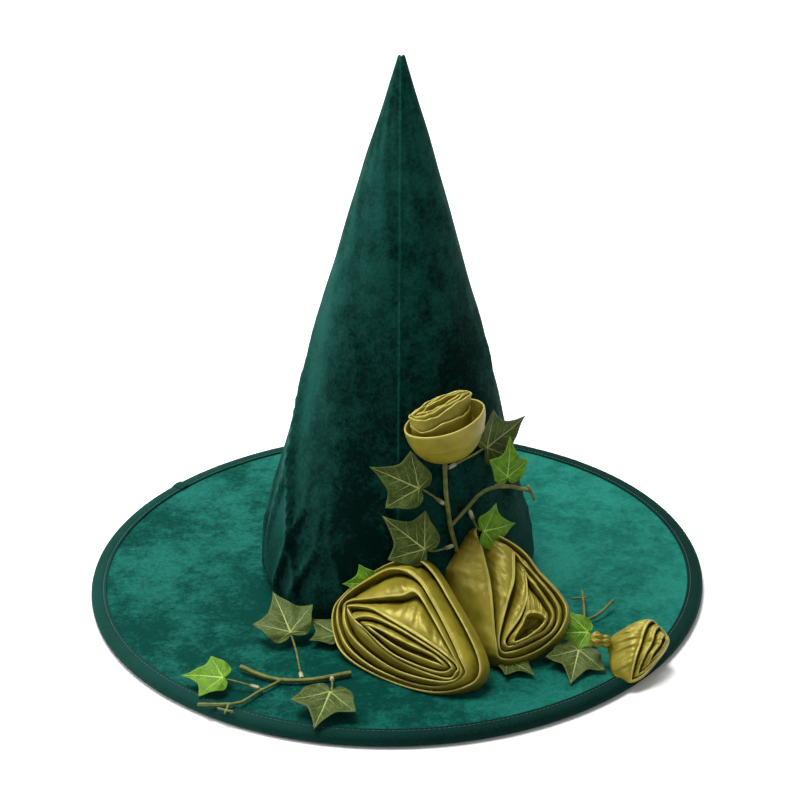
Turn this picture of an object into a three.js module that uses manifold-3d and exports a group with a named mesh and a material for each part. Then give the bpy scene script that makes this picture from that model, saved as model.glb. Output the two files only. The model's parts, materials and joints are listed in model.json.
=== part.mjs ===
// A costume witch's hat: a velvet cone on a flat, wired brim, trimmed with satin ribbon
// roses and sprays of artificial ivy. Millimetres, +Z up, the wearer's front towards -Y.
// The origin is the centre of the brim's lowest plane, on which the hat stands.
import * as THREE from 'three';
import { mergeVertices } from 'three/addons/utils/BufferGeometryUtils.js';
import Module from 'manifold-3d';

const wasm = await Module();
wasm.setup();

// ---- Driving dimensions ----

// Gap that is kept between two pieces that touch
const FIT_GAP = 0.3;

// Head opening and the layers of the crown's wall, from the head outwards
const HEAD_RADIUS = 88;
const SWEATBAND_THICKNESS = 0.8;
const SWEATBAND_HEIGHT = 30;
const LINING_THICKNESS = 0.6;
const STIFFENER_THICKNESS = 1.2;
const VELVET_THICKNESS = 1.2;

// Crown: a tall cone, puffed out over its seam, its sides bowed, its tip leaning to +X
const CROWN_HEIGHT = 374.5;
const CROWN_TIP_RADIUS = 2.6;
const CROWN_PUFF = 8;
const CROWN_PUFF_HEIGHT = 11;
const CROWN_BOW = 6;
const CROWN_LEAN = 9.8;
const LINING_TIP_RADIUS = 13;
const STIFFENER_TIP_RADIUS = 5;

// Brim: two covers on a foam disc, its edge wired and bound with a folded tape
const BRIM_RADIUS = 220;
const BRIM_COVER_THICKNESS = 0.9;
const BRIM_FOAM_THICKNESS = 3;
const BINDING_THICKNESS = 0.8;
const BINDING_WIDTH = 11;
const BINDING_CORNER = 2;
const WIRE_RADIUS = 0.8;
const FERRULE_LENGTH = 14;
const FERRULE_WALL = 0.4;

// Ivy: stems with short pegs, and leaves whose sleeves push onto the pegs
const STEM_RADIUS = 1.8;
const TWIG_RADIUS = 1.1;
const STEM_REST_HEIGHT = 2.6;
const PEG_RADIUS = 0.7;
const PEG_LENGTH = 4;
const SLEEVE_RADIUS = 1.5;
const SLEEVE_LENGTH = 6;
const STALK_RADIUS = 0.8;
const LEAF_THICKNESS = 0.6;

// Satin roses
const ROSE_RISE = 21;
const ROSE_DEPTH = 30;
const HEART_SHARE = 0.42;
const HEART_RISE = 5;
const CUP_RADIUS = 28;
const CUP_FLATTENING = 0.66;
const CUP_HEIGHT = 31;
const CUP_WALL = 2;
const CUP_STANDOFF = 3;
const ROLL_SHARE = 0.82;
const ROLL_RISE = 14;
const KNOT_RADIUS = 7.5;

// Facets round the crown and round the brim
const CROWN_FACETS = 36;
const BRIM_FACETS = 60;

// ---- Levels and radii that follow from them ----

const undersideLevel = BINDING_THICKNESS + FIT_GAP;
const foamLevel = undersideLevel + BRIM_COVER_THICKNESS + FIT_GAP;
const ferruleBore = WIRE_RADIUS + 2 * FIT_GAP;
const ferruleRadius = ferruleBore + FERRULE_WALL;
// The covers lie on the foam, or stand apart by the ferrule where that is thicker
const coverRoom = Math.max(BRIM_FOAM_THICKNESS + 2 * FIT_GAP, 2 * ferruleRadius);
const coverLevel = undersideLevel + BRIM_COVER_THICKNESS + coverRoom;
const brimTop = coverLevel + BRIM_COVER_THICKNESS;
const bindingTop = brimTop + FIT_GAP + BINDING_THICKNESS;
const brimOpening = HEAD_RADIUS + SWEATBAND_THICKNESS + FIT_GAP;
const coverRadius = BRIM_RADIUS - BINDING_THICKNESS - FIT_GAP;
const wireRadius = coverRadius - WIRE_RADIUS - FERRULE_WALL - 3 * FIT_GAP;
const foamRadius = wireRadius - WIRE_RADIUS - FERRULE_WALL - 4 * FIT_GAP;
const bindingInner = BRIM_RADIUS - BINDING_WIDTH;
const crownFoot = brimTop + FIT_GAP;
const footRadius = brimOpening + LINING_THICKNESS + STIFFENER_THICKNESS + VELVET_THICKNESS + 2 * FIT_GAP;

const radians = THREE.MathUtils.degToRad;

// ---- Materials ----

const finish = (color, roughness, metalness = 0) =>
  new THREE.MeshStandardMaterial({ color, roughness, metalness });
const VELVET = finish(0x12493f, 0.9);
const BRIM_VELVET = finish(0x1f6456, 0.9);
const TAPE = finish(0x0e3a31, 0.8);
const BLACK_CLOTH = finish(0x15181a, 0.85);
const FOAM = finish(0xd8d6cc, 0.95);
const SATIN = finish(0x8a7d2e, 0.4);
const STEM = finish(0x6b6a35, 0.6);
const DARK_LEAF = finish(0x4d5c2a, 0.55);
const BRIGHT_LEAF = finish(0x5f9a2a, 0.5);
const STEEL = finish(0x8a8d90, 0.35, 1);

// ---- Solids ----

const group = new THREE.Group();

function add(name, geometry, material) {
  const mesh = new THREE.Mesh(geometry, material.clone());
  mesh.name = name;
  group.add(mesh);
  return mesh;
}

function toSolid(geometry) {
  const bare = geometry.clone();
  bare.deleteAttribute('normal');
  bare.deleteAttribute('uv');
  const merged = mergeVertices(bare, 1e-4);
  const corners = merged.index.array;
  const triangles = [];
  for (let i = 0; i < corners.length; i += 3) {
    const [a, b, c] = corners.slice(i, i + 3);
    // Where a profile runs along its axis, the turned faces have no area
    if (a !== b && b !== c && c !== a) triangles.push(a, b, c);
  }
  return new wasm.Manifold(new wasm.Mesh({
    numProp: 3,
    vertProperties: new Float32Array(merged.attributes.position.array),
    triVerts: new Uint32Array(triangles),
  }));
}

function toGeometry(solid) {
  const mesh = solid.getMesh();
  const geometry = new THREE.BufferGeometry();
  geometry.setAttribute('position', new THREE.BufferAttribute(mesh.vertProperties, 3));
  geometry.setIndex(new THREE.BufferAttribute(mesh.triVerts, 1));
  geometry.computeVertexNormals();
  return geometry;
}

const join = (solids) => solids.reduce((whole, piece) => whole.add(piece));
const cut = (solid, tools) => tools.reduce((rest, tool) => rest.subtract(tool), solid);

// The largest body of a solid, without the slivers that a cut leaves beside it
function largest(solid) {
  const bodies = solid.decompose();
  return bodies.reduce((best, body) => (body.volume() > best.volume() ? body : best));
}

// A ring or disc turned about Z; the profile is [radius, height] points, anticlockwise
function turned(profile, facets) {
  const points = [...profile, profile[0]].map(([r, z]) => new THREE.Vector2(r, z));
  const geometry = new THREE.LatheGeometry(points, facets);
  geometry.rotateX(Math.PI / 2);
  return geometry;
}

const flatRing = (inner, outer, bottom, top) =>
  turned([[inner, bottom], [outer, bottom], [outer, top], [inner, top]], BRIM_FACETS);

// A polygon with a corner on the shape's X axis, used as the section of stems and pegs
function polygon(radius, sides) {
  const corners = Array.from({ length: sides }, (_, i) => {
    const angle = (2 * Math.PI * i) / sides;
    return new THREE.Vector2(radius * Math.cos(angle), radius * Math.sin(angle));
  });
  return new THREE.Shape(corners);
}

function tube(curve, radius, steps, sides = 6) {
  return toSolid(new THREE.ExtrudeGeometry(polygon(radius, sides), {
    steps, bevelEnabled: false, extrudePath: curve,
  }));
}

const rod = (start, end, radius, sides = 6) => tube(new THREE.LineCurve3(start, end), radius, 1, sides);

// ---- Crown surface ----

// Outer radius of the velvet at a height above the rest plane
function crownRadius(z) {
  const t = THREE.MathUtils.clamp((z - crownFoot) / CROWN_HEIGHT, 0, 1);
  const puff = CROWN_PUFF * (1 - Math.exp(-t * CROWN_HEIGHT / CROWN_PUFF_HEIGHT)) * (1 - t) ** 2;
  return THREE.MathUtils.lerp(footRadius, CROWN_TIP_RADIUS, t) + puff + CROWN_BOW * Math.sin(Math.PI * t);
}

const crownCentre = (z) => CROWN_LEAN * THREE.MathUtils.clamp((z - crownFoot) / CROWN_HEIGHT, 0, 1);

function crownLevel(radius) {
  let low = crownFoot + CROWN_HEIGHT / 4;
  let high = crownFoot + CROWN_HEIGHT;
  for (let i = 0; i < 40; i += 1) {
    const middle = (low + high) / 2;
    if (crownRadius(middle) > radius) low = middle; else high = middle;
  }
  return low;
}

// A point at an azimuth and height, standing off the velvet
function onCrown(azimuth, z, off) {
  const r = crownRadius(z) + off;
  const a = radians(azimuth);
  return new THREE.Vector3(crownCentre(z) + r * Math.cos(a), r * Math.sin(a), z);
}

// A point at an azimuth, a distance before the crown's foot and a height above the brim
function onBrim(azimuth, distance, height) {
  const r = footRadius + distance;
  const a = radians(azimuth);
  return new THREE.Vector3(r * Math.cos(a), r * Math.sin(a), brimTop + height);
}

// Heights of the crown's rows of facets, as shares of its height, close together at the puff
const ROW_SHARES = [0, 0.015, 0.045, 0.11, 0.22, 0.36, 0.52, 0.7, 0.87, 1];

// One layer of the crown's wall between two azimuths; a full turn closes on itself.
// inset is its outer face's distance inside the velvet's, gap the slit left at its ends.
function crownLayer({ inset, thickness, top, from, to, facets, gap }) {
  const levels = ROW_SHARES.map((share) => crownFoot + share * CROWN_HEIGHT).filter((z) => z < top - 1);
  levels.push(top);
  const full = gap === 0;
  const columns = full ? facets : facets + 1;
  const positions = [];
  for (let i = 0; i < columns; i += 1) {
    for (const side of [0, 1]) {
      for (const z of levels) {
        const outer = crownRadius(z) - inset;
        const inner = outer - thickness;
        const margin = gap === 0 ? 0 : Math.asin(gap / 2 / inner);
        const a = THREE.MathUtils.lerp(radians(from) + margin, radians(to) - margin, i / facets);
        const r = side === 0 ? outer : inner;
        positions.push(crownCentre(z) + r * Math.cos(a), r * Math.sin(a), z);
      }
    }
  }
  const n = levels.length;
  const loop = 2 * n;
  // Section corners in order: up the outer face, then down the inner one
  const corner = (k) => (k < n ? k : loop - 1 - (k - n));
  const index = [];
  const quad = (a, b, c, d) => index.push(a, b, c, a, c, d);
  for (let i = 0; i < facets; i += 1) {
    const here = i * loop;
    const next = ((i + 1) % columns) * loop;
    for (let k = 0; k < loop; k += 1) {
      const low = corner(k);
      const high = corner((k + 1) % loop);
      quad(here + low, next + low, next + high, here + high);
    }
  }
  if (!full) {
    const last = facets * loop;
    for (let k = 0; k < n - 1; k += 1) {
      quad(k, k + 1, n + k + 1, n + k);
      quad(last + k, last + n + k, last + n + k + 1, last + k + 1);
    }
  }
  const geometry = new THREE.BufferGeometry();
  geometry.setAttribute('position', new THREE.Float32BufferAttribute(positions, 3));
  geometry.setIndex(index);
  geometry.computeVertexNormals();
  return geometry;
}

// ---- Brim ----

function buildBrim() {
  add('brim_underside_cover',
    flatRing(brimOpening, coverRadius, undersideLevel, undersideLevel + BRIM_COVER_THICKNESS), BLACK_CLOTH);
  add('brim_foam', flatRing(brimOpening, foamRadius, foamLevel, foamLevel + BRIM_FOAM_THICKNESS), FOAM);
  add('brim_top_cover', flatRing(brimOpening, coverRadius, coverLevel, brimTop), BRIM_VELVET);

  // The binding wraps the edge: a channel open towards the crown, its outer corners eased
  const binding = [
    [bindingInner, 0],
    [BRIM_RADIUS - BINDING_CORNER, 0],
    [BRIM_RADIUS, BINDING_CORNER],
    [BRIM_RADIUS, bindingTop - BINDING_CORNER],
    [BRIM_RADIUS - BINDING_CORNER, bindingTop],
    [bindingInner, bindingTop],
    [bindingInner, bindingTop - BINDING_THICKNESS],
    [coverRadius + FIT_GAP, bindingTop - BINDING_THICKNESS],
    [coverRadius + FIT_GAP, BINDING_THICKNESS],
    [bindingInner, BINDING_THICKNESS],
  ];
  add('brim_edge_binding', turned(binding, BRIM_FACETS), TAPE);

  // The hoop's ends meet at the back, inside a crimped ferrule
  const wireLevel = coverLevel - coverRoom / 2;
  const backAngle = Math.PI / 2;
  const halfGap = FIT_GAP / wireRadius;
  class Hoop extends THREE.Curve {
    getPoint(t, target = new THREE.Vector3()) {
      const a = backAngle + halfGap + t * 2 * (Math.PI - halfGap);
      return target.set(wireRadius * Math.cos(a), wireRadius * Math.sin(a), wireLevel);
    }
  }
  add('brim_wire', toGeometry(tube(new Hoop(), WIRE_RADIUS, BRIM_FACETS)), STEEL);
  const half = new THREE.Vector3(FERRULE_LENGTH / 2, 0, 0);
  const middle = new THREE.Vector3(0, wireRadius, wireLevel);
  const ferrule = rod(middle.clone().sub(half), middle.clone().add(half), ferruleRadius, 8).subtract(
    rod(middle.clone().addScaledVector(half, -2), middle.clone().addScaledVector(half, 2), ferruleBore, 8));
  add('wire_ferrule', toGeometry(ferrule), STEEL);
}

// ---- Crown ----

function buildCrown() {
  const top = crownFoot + CROWN_HEIGHT;
  const half = { inset: 0, thickness: VELVET_THICKNESS, top, facets: CROWN_FACETS / 2, gap: FIT_GAP };
  add('crown_panel_right', crownLayer({ ...half, from: -90, to: 90 }), VELVET);
  add('crown_panel_left', crownLayer({ ...half, from: 90, to: 270 }), VELVET);

  const full = { from: -90, to: 270, facets: CROWN_FACETS, gap: 0 };
  const stiffenerInset = VELVET_THICKNESS + FIT_GAP;
  add('crown_stiffener', crownLayer({
    ...full, inset: stiffenerInset, thickness: STIFFENER_THICKNESS, top: crownLevel(STIFFENER_TIP_RADIUS),
  }), FOAM);
  const liningInset = stiffenerInset + STIFFENER_THICKNESS + FIT_GAP;
  add('crown_lining', crownLayer({
    ...full, inset: liningInset, thickness: LINING_THICKNESS, top: crownLevel(LINING_TIP_RADIUS),
  }), BLACK_CLOTH);

  // The band stands straight, or leans in where the lining leaves its top less room
  const bandOuter = HEAD_RADIUS + SWEATBAND_THICKNESS;
  const bandTop = undersideLevel + SWEATBAND_HEIGHT;
  const liningRoom = crownRadius(bandTop) - crownCentre(bandTop) - liningInset - LINING_THICKNESS - 3 * FIT_GAP;
  const bandTopOuter = Math.min(bandOuter, liningRoom);
  add('sweatband', turned([
    [HEAD_RADIUS, undersideLevel],
    [bandOuter, undersideLevel],
    [bandTopOuter, bandTop],
    [bandTopOuter - SWEATBAND_THICKNESS, bandTop],
  ], CROWN_FACETS), BLACK_CLOTH);
}

// ---- What the trimmings must stay clear of ----

function crownBlank() {
  const profile = [[0, 0], [footRadius + FIT_GAP, 0]];
  for (const share of ROW_SHARES) {
    const z = crownFoot + share * CROWN_HEIGHT;
    profile.push([crownRadius(z) + 2 * FIT_GAP, z]);
  }
  profile.push([0, crownFoot + CROWN_HEIGHT]);
  const slope = CROWN_LEAN / CROWN_HEIGHT;
  const lean = new THREE.Matrix4().set(1, 0, slope, -slope * crownFoot, 0, 1, 0, 0, 0, 0, 1, 0, 0, 0, 0, 1);
  return toSolid(turned(profile, CROWN_FACETS).applyMatrix4(lean));
}

function brimBlank() {
  const beyond = BRIM_RADIUS + 2 * CUP_RADIUS;
  return toSolid(turned([
    [0, -BRIM_RADIUS],
    [beyond, -BRIM_RADIUS],
    [beyond, bindingTop + FIT_GAP],
    [bindingInner - FIT_GAP, bindingTop + FIT_GAP],
    [bindingInner - FIT_GAP, brimTop + FIT_GAP],
    [0, brimTop + FIT_GAP],
  ], BRIM_FACETS));
}

// ---- Ivy stems ----

const curveThrough = (points) => new THREE.CatmullRomCurve3(points, false, 'centripetal');
const crownPath = (points) => curveThrough(points.map(([az, z, off]) => onCrown(az, z, off)));
const brimPath = (points) => curveThrough(points.map(([az, distance, height]) => onBrim(az, distance, height)));

const UP = STEM_REST_HEIGHT;
const stems = {
  // Up the front of the crown from behind the roses to the top rose
  stem_crown: [
    { curve: crownPath([[-64, 62, UP], [-66, 78, UP], [-66.7, 92, UP], [-67.1, 106, UP], [-66.4, 123, UP]]),
      radius: STEM_RADIUS, steps: 8 },
    { curve: crownPath([[-66.2, 80, UP], [-56, 91, 4], [-48.5, 97, 5], [-41, 98.5, 9], [-36.5, 97.5, 15], [-33.5, 95.5, 27]]),
      radius: TWIG_RADIUS + 0.3, steps: 12 },
    { curve: crownPath([[-35, 100.5, 28], [-33.6, 95.5, 28], [-32.8, 88.5, 28.5]]), radius: TWIG_RADIUS, steps: 3 },
  ],
  // Out of the left rose, along the brim and to its edge
  stem_left: [
    { curve: brimPath([[-102, 57.3, UP], [-110.5, 71.9, UP], [-117, 79.6, UP], [-121.4, 80.5, UP], [-127, 80.8, 4]]),
      radius: STEM_RADIUS, steps: 9 },
    { curve: brimPath([[-116.5, 78.9, UP], [-118.7, 98.7, UP], [-119.6, 115.2, 3.4], [-122, 122.8, 4.2],
      [-125.2, 131.1, 4.6]]), radius: TWIG_RADIUS + 0.1, steps: 9 },
    { curve: brimPath([[-120.8, 120.3, 4], [-119.9, 129.8, 4]]), radius: TWIG_RADIUS * 0.7, steps: 1 },
    { curve: brimPath([[-121.8, 127.3, 4.2], [-118.8, 126, 4.2]]), radius: TWIG_RADIUS * 0.7, steps: 1 },
  ],
  // Out of the right rose to the bud's knot, with two bare twigs behind the leaf
  stem_right: [
    { curve: brimPath([[-42, 53.5, 3], [-40, 63.6, 3], [-35.5, 62.4, 3.4], [-31, 67.5, 4], [-24.5, 71.9, 7]]),
      radius: TWIG_RADIUS, steps: 8 },
    { curve: brimPath([[-34.5, 62.4, 3.6], [-28, 53.5, 5], [-22.5, 47.4, 6.5]]), radius: TWIG_RADIUS, steps: 4 },
    { curve: brimPath([[-27.6, 43.9, 6], [-25.2, 53.5, 6]]), radius: TWIG_RADIUS * 0.8, steps: 1 },
  ],
};

const stemSolid = (name, grow) =>
  join(stems[name].map(({ curve, radius, steps }) => tube(curve, radius + grow, steps)));

// ---- Ivy leaves ----

// at: where the veins meet, on the crown [azimuth, height, standing off] or on the brim
// [azimuth, distance before the crown's foot, height]. face: azimuth and elevation of the blade's upper side.
// heading: the tip's direction, turned left from the way up the blade's plane.
// peg: the stem, its branch and the place along it that the leaf's sleeve pushes onto.
const LEAVES = {
  crown_left: { on: 'crown', at: [-81.1, 112, 9], face: [-93, 16], heading: 66, length: 36,
    peg: ['stem_crown', 0, 0.52] },
  crown_top: { on: 'crown', at: [-42, 126, 7], face: [-58, 6], heading: -68, length: 37,
    peg: ['stem_crown', 0, 0.93] },
  crown_right: { on: 'crown', at: [-39.5, 107, 17.5], face: [-60, 8], heading: -14, length: 28, bright: true,
    peg: ['stem_crown', 1, 0.5] },
  crown_low: { on: 'crown', at: [-55, 77.5, 15.5], face: [-56, 14], heading: -97, length: 29, bright: true,
    peg: ['stem_crown', 1, 0.27] },
  above_roses: { on: 'crown', at: [-79.7, 72, 11], face: [-93, 16], heading: 53, length: 36,
    peg: ['stem_crown', 0, 0.08] },
  behind_left_rose: { on: 'crown', at: [-100, 47, 6], face: [-105, 22], heading: 98, length: 22, bright: true },
  brim_tall: { on: 'brim', at: [-124.6, 35.1, 9], face: [-83, 62], heading: 14, length: 37,
    peg: ['stem_left', 0, 0.42] },
  beside_left_rose: { on: 'brim', at: [-111, 21, 6.5], face: [-97, 78], heading: 55, length: 27 },
  brim_edge: { on: 'brim', at: [-125.8, 102.9, 8.5], face: [-94, 68], heading: 83, length: 28.5, bright: true,
    peg: ['stem_left', 1, 0.24] },
  brim_front: { on: 'brim', at: [-103.8, 92.3, 9.5], face: [-85, 82], heading: 160, length: 37,
    peg: ['stem_left', 0, 0.17] },
  behind_bud: { on: 'brim', at: [-41, 76.4, 7.5], face: [-66, 58], heading: 74, length: 29, bright: true },
  before_bud: { on: 'brim', at: [-47.9, 85.5, 7], face: [-76, 80], heading: 152, length: 34 },
  under_right_rose: { on: 'brim', at: [-62.5, 63.6, 4.5], face: [-90, 87], heading: -135, length: 24 },
  under_left_rose: { on: 'brim', at: [-81.5, 62.4, 3.2], face: [-90, 87], heading: 172, length: 20 },
};

// Half the outline of an ivy leaf of length 1 from the veins' meeting point to its tip
const HALF_OUTLINE = [[1, 0], [0.72, 0.12], [0.52, 0.23], [0.42, 0.59], [0.22, 0.48], [0.04, 0.42],
  [-0.12, 0.32], [-0.14, 0.14], [-0.06, 0]];

function leafFrame({ on, at, face, heading }) {
  const origin = on === 'crown' ? onCrown(...at) : onBrim(...at);
  const [az, el] = face.map(radians);
  const turn = radians(heading);
  const normal = new THREE.Vector3(Math.cos(az) * Math.cos(el), Math.sin(az) * Math.cos(el), Math.sin(el));
  const up = new THREE.Vector3(-Math.cos(az) * Math.sin(el), -Math.sin(az) * Math.sin(el), Math.cos(el));
  const left = normal.clone().cross(up);
  const along = up.multiplyScalar(Math.cos(turn)).addScaledVector(left, Math.sin(turn));
  return { origin, normal, along, across: normal.clone().cross(along) };
}

function blade(leaf, grow) {
  const { origin, normal, along, across } = leafFrame(leaf);
  const mirrored = HALF_OUTLINE.slice(1, -1).reverse().map(([x, y]) => [x, -y]);
  const size = leaf.length + 2 * grow;
  const outline = [...HALF_OUTLINE, ...mirrored].map(([x, y]) => new THREE.Vector2(x * size, y * size));
  const geometry = new THREE.ExtrudeGeometry(new THREE.Shape(outline), {
    depth: LEAF_THICKNESS + 2 * grow, bevelEnabled: false,
  });
  geometry.translate(0, 0, -grow);
  geometry.applyMatrix4(new THREE.Matrix4().makeBasis(along, across, normal).setPosition(origin));
  return toSolid(geometry);
}

// The peg stands on the stem and points along the leaf's stalk, which starts at its sleeve
function pegOf(leaf) {
  const [stem, branch, place] = leaf.peg;
  const { curve, radius } = stems[stem][branch];
  const foot = curve.getPointAt(place);
  const { origin, normal, along } = leafFrame(leaf);
  const underside = origin.clone().addScaledVector(normal, -STALK_RADIUS - FIT_GAP);
  const axis = underside.clone().addScaledVector(along, -0.15 * leaf.length).sub(foot).normalize();
  // The more the peg leans along the stem, the further out its sleeve has to start
  const lean = Math.abs(axis.dot(curve.getTangentAt(place)));
  const start = (radius + 2 * FIT_GAP + SLEEVE_RADIUS * lean) / Math.sqrt(1 - lean * lean);
  return { stem, foot, axis, start, underside, along };
}

function stalk(leaf, grow) {
  const { foot, axis, start, underside, along } = pegOf(leaf);
  const at = (distance) => foot.clone().addScaledVector(axis, distance);
  const end = start + SLEEVE_LENGTH;
  const reach = underside.distanceTo(at(end)) / 3;
  const bend = new THREE.CubicBezierCurve3(
    at(end - 0.5), at(end + reach), underside.clone().addScaledVector(along, -reach), underside);
  const bore = PEG_RADIUS + FIT_GAP;
  const whole = join([
    rod(at(start), at(end), SLEEVE_RADIUS + grow),
    tube(bend, STALK_RADIUS + grow, 5),
    rod(underside.clone().addScaledVector(along, -0.5),
      underside.clone().addScaledVector(along, 0.3 * leaf.length), STALK_RADIUS + grow),
  ]);
  return grow > 0 ? whole : whole.subtract(rod(at(start - 1), at(start + PEG_LENGTH + FIT_GAP), bore));
}

const peg = ({ foot, axis, start }) =>
  rod(foot, foot.clone().addScaledVector(axis, start + PEG_LENGTH), PEG_RADIUS);

// ---- Satin roses ----

// A flower is a low dome over an outline that goes round clockwise in [right, up] of its plane.
// at: azimuth, distance in front of the crown's foot and height above the brim of its
// middle. face: azimuth and elevation of the side that shows. heart: where its rolled
// middle stands in that plane, and how it is stretched.
const FLOWERS = {
  rose_left: {
    at: [-85.9, 34.6, 27.5], face: [-119, 46], rise: ROSE_RISE, depth: ROSE_DEPTH,
    outline: [[-56, -5], [-50, 18], [-32, 33], [-11, 42], [12, 36], [31, 15], [52, -4], [58, -18],
      [44, -37], [12, -39], [-19, -38], [-40, -29]],
    heart: [2, -8], stretch: [1.1, 0.6],
  },
  rose_right: {
    at: [-54.2, 30.5, 36.5], face: [-80, 51], rise: ROSE_RISE, depth: ROSE_DEPTH,
    outline: [[-35, 20], [-27, 37], [-13, 45], [4, 40], [16, 28], [32, 5], [42, -18], [35, -38], [18, -49],
      [-2, -54], [-14, -53], [-31, -43], [-37, -18]],
    heart: [12, -20], stretch: [0.7, 0.9],
  },
  bud: {
    at: [-41.1, 117, 15.5], face: [-76, 52], rise: ROSE_RISE / 2, depth: ROSE_DEPTH / 2,
    outline: [[-21, 2], [-12, 13], [6, 17], [14, 10], [22, 0], [12, -12], [-1, -21], [-13, -27], [-20, -24]],
  },
};

const OUTLINE_STEPS = 26;
const DOME_SHARES = [0, 0.35, 0.65, 0.88, 1];

function flowerFrame({ at: [azimuth, distance, height], face }) {
  const r = footRadius + distance;
  const a = radians(azimuth);
  const [az, el] = face.map(radians);
  const normal = new THREE.Vector3(Math.cos(az) * Math.cos(el), Math.sin(az) * Math.cos(el), Math.sin(el));
  const up = new THREE.Vector3(-Math.cos(az) * Math.sin(el), -Math.sin(az) * Math.sin(el), Math.cos(el));
  const right = up.clone().cross(normal);
  return new THREE.Matrix4().makeBasis(right, up, normal)
    .setPosition(r * Math.cos(a), r * Math.sin(a), brimTop + height);
}

// A closed cushion over an outline: shares of it, raised to a dome in front and behind
function pillow(flower, rise, depth, { scale = [1, 1], shift = [0, 0], grow = 0 } = {}) {
  const corners = flower.outline.map(([x, y]) => new THREE.Vector3(x * scale[0], y * scale[1], 0));
  const round = new THREE.CatmullRomCurve3(corners, true, 'centripetal').getPoints(OUTLINE_STEPS).slice(0, -1);
  const positions = [shift[0], shift[1], rise + grow];
  const ring = (share, side) => {
    const height = side * Math.sqrt(1 - share * share) * (side > 0 ? rise + grow : depth + grow);
    for (const point of round) {
      const wide = 1 + grow / point.length();
      positions.push(shift[0] + point.x * share * wide, shift[1] + point.y * share * wide, height);
    }
  };
  const inside = DOME_SHARES.slice(1);
  inside.forEach((share) => ring(share, 1));
  inside.slice(0, -1).reverse().forEach((share) => ring(share, -1));
  positions.push(shift[0], shift[1], -depth - grow);

  const n = round.length;
  const rings = 2 * inside.length - 1;
  const bottom = 1 + rings * n;
  const index = [];
  for (let i = 0; i < n; i += 1) {
    const j = (i + 1) % n;
    index.push(0, 1 + j, 1 + i);
    for (let k = 0; k < rings - 1; k += 1) {
      const a = 1 + k * n;
      index.push(a + i, a + n + j, a + n + i, a + i, a + j, a + n + j);
    }
    const last = bottom - n;
    index.push(last + i, last + j, bottom);
  }
  const geometry = new THREE.BufferGeometry();
  geometry.setAttribute('position', new THREE.Float32BufferAttribute(positions, 3));
  geometry.setIndex(index);
  return toSolid(geometry.applyMatrix4(flowerFrame(flower)));
}

const wholeFlower = (flower, grow = 0) => pillow(flower, flower.rise, flower.depth, { grow });

function heart(flower, grow) {
  return pillow(flower, flower.rise + HEART_RISE, 0.2 * flower.depth, {
    scale: flower.stretch.map((s) => s * HEART_SHARE), shift: flower.heart, grow,
  });
}

// The top rose: a cup of ribbon that stands in front of the crown, and the roll inside it
// at: azimuth and height of the cup's middle, which clears the crown by the stand-off.
const TOP_ROSE = { at: [-70, 161], lean: 12 };

function bowl(radius, height) {
  const steps = 6;
  return Array.from({ length: steps + 1 }, (_, i) => {
    const t = (i / steps) * (Math.PI / 2);
    return [radius * Math.sin(t), -height * Math.cos(t)];
  });
}

function topRosePlace(depthScale) {
  const turn = radians(TOP_ROSE.at[0] + 90);
  const off = CUP_RADIUS * CUP_FLATTENING + CUP_STANDOFF;
  return new THREE.Matrix4().setPosition(onCrown(...TOP_ROSE.at, off))
    .multiply(new THREE.Matrix4().makeRotationZ(turn))
    .multiply(new THREE.Matrix4().makeRotationY(-radians(TOP_ROSE.lean)))
    .multiply(new THREE.Matrix4().makeScale(1, depthScale, 1));
}

function topRoseCup() {
  const inner = bowl(CUP_RADIUS - CUP_WALL, CUP_HEIGHT - CUP_WALL).reverse();
  return toSolid(turned([...bowl(CUP_RADIUS, CUP_HEIGHT), ...inner], 24).applyMatrix4(topRosePlace(CUP_FLATTENING)));
}

function topRoseRoll() {
  const radius = (CUP_RADIUS - CUP_WALL) * ROLL_SHARE;
  const below = bowl(radius, (CUP_HEIGHT - CUP_WALL) * ROLL_SHARE);
  const profile = [...below, [radius, ROLL_RISE * 0.7], [radius * 0.8, ROLL_RISE], [0, ROLL_RISE]];
  return toSolid(turned(profile, 18).applyMatrix4(topRosePlace(CUP_FLATTENING * ROLL_SHARE)));
}

function knot(grow) {
  const shape = new THREE.IcosahedronGeometry(KNOT_RADIUS + grow, 1);
  shape.scale(1, 0.85, 0.8);
  const [x, y] = FLOWERS.bud.outline[0];
  shape.translate(x - KNOT_RADIUS / 2, y + KNOT_RADIUS / 2, 0);
  return toSolid(shape.applyMatrix4(flowerFrame(FLOWERS.bud)));
}

// ---- Trimmings ----

// How far a leaf that swivels keeps the flowers away from its blade
const SWING_ROOM = 4;

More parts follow.
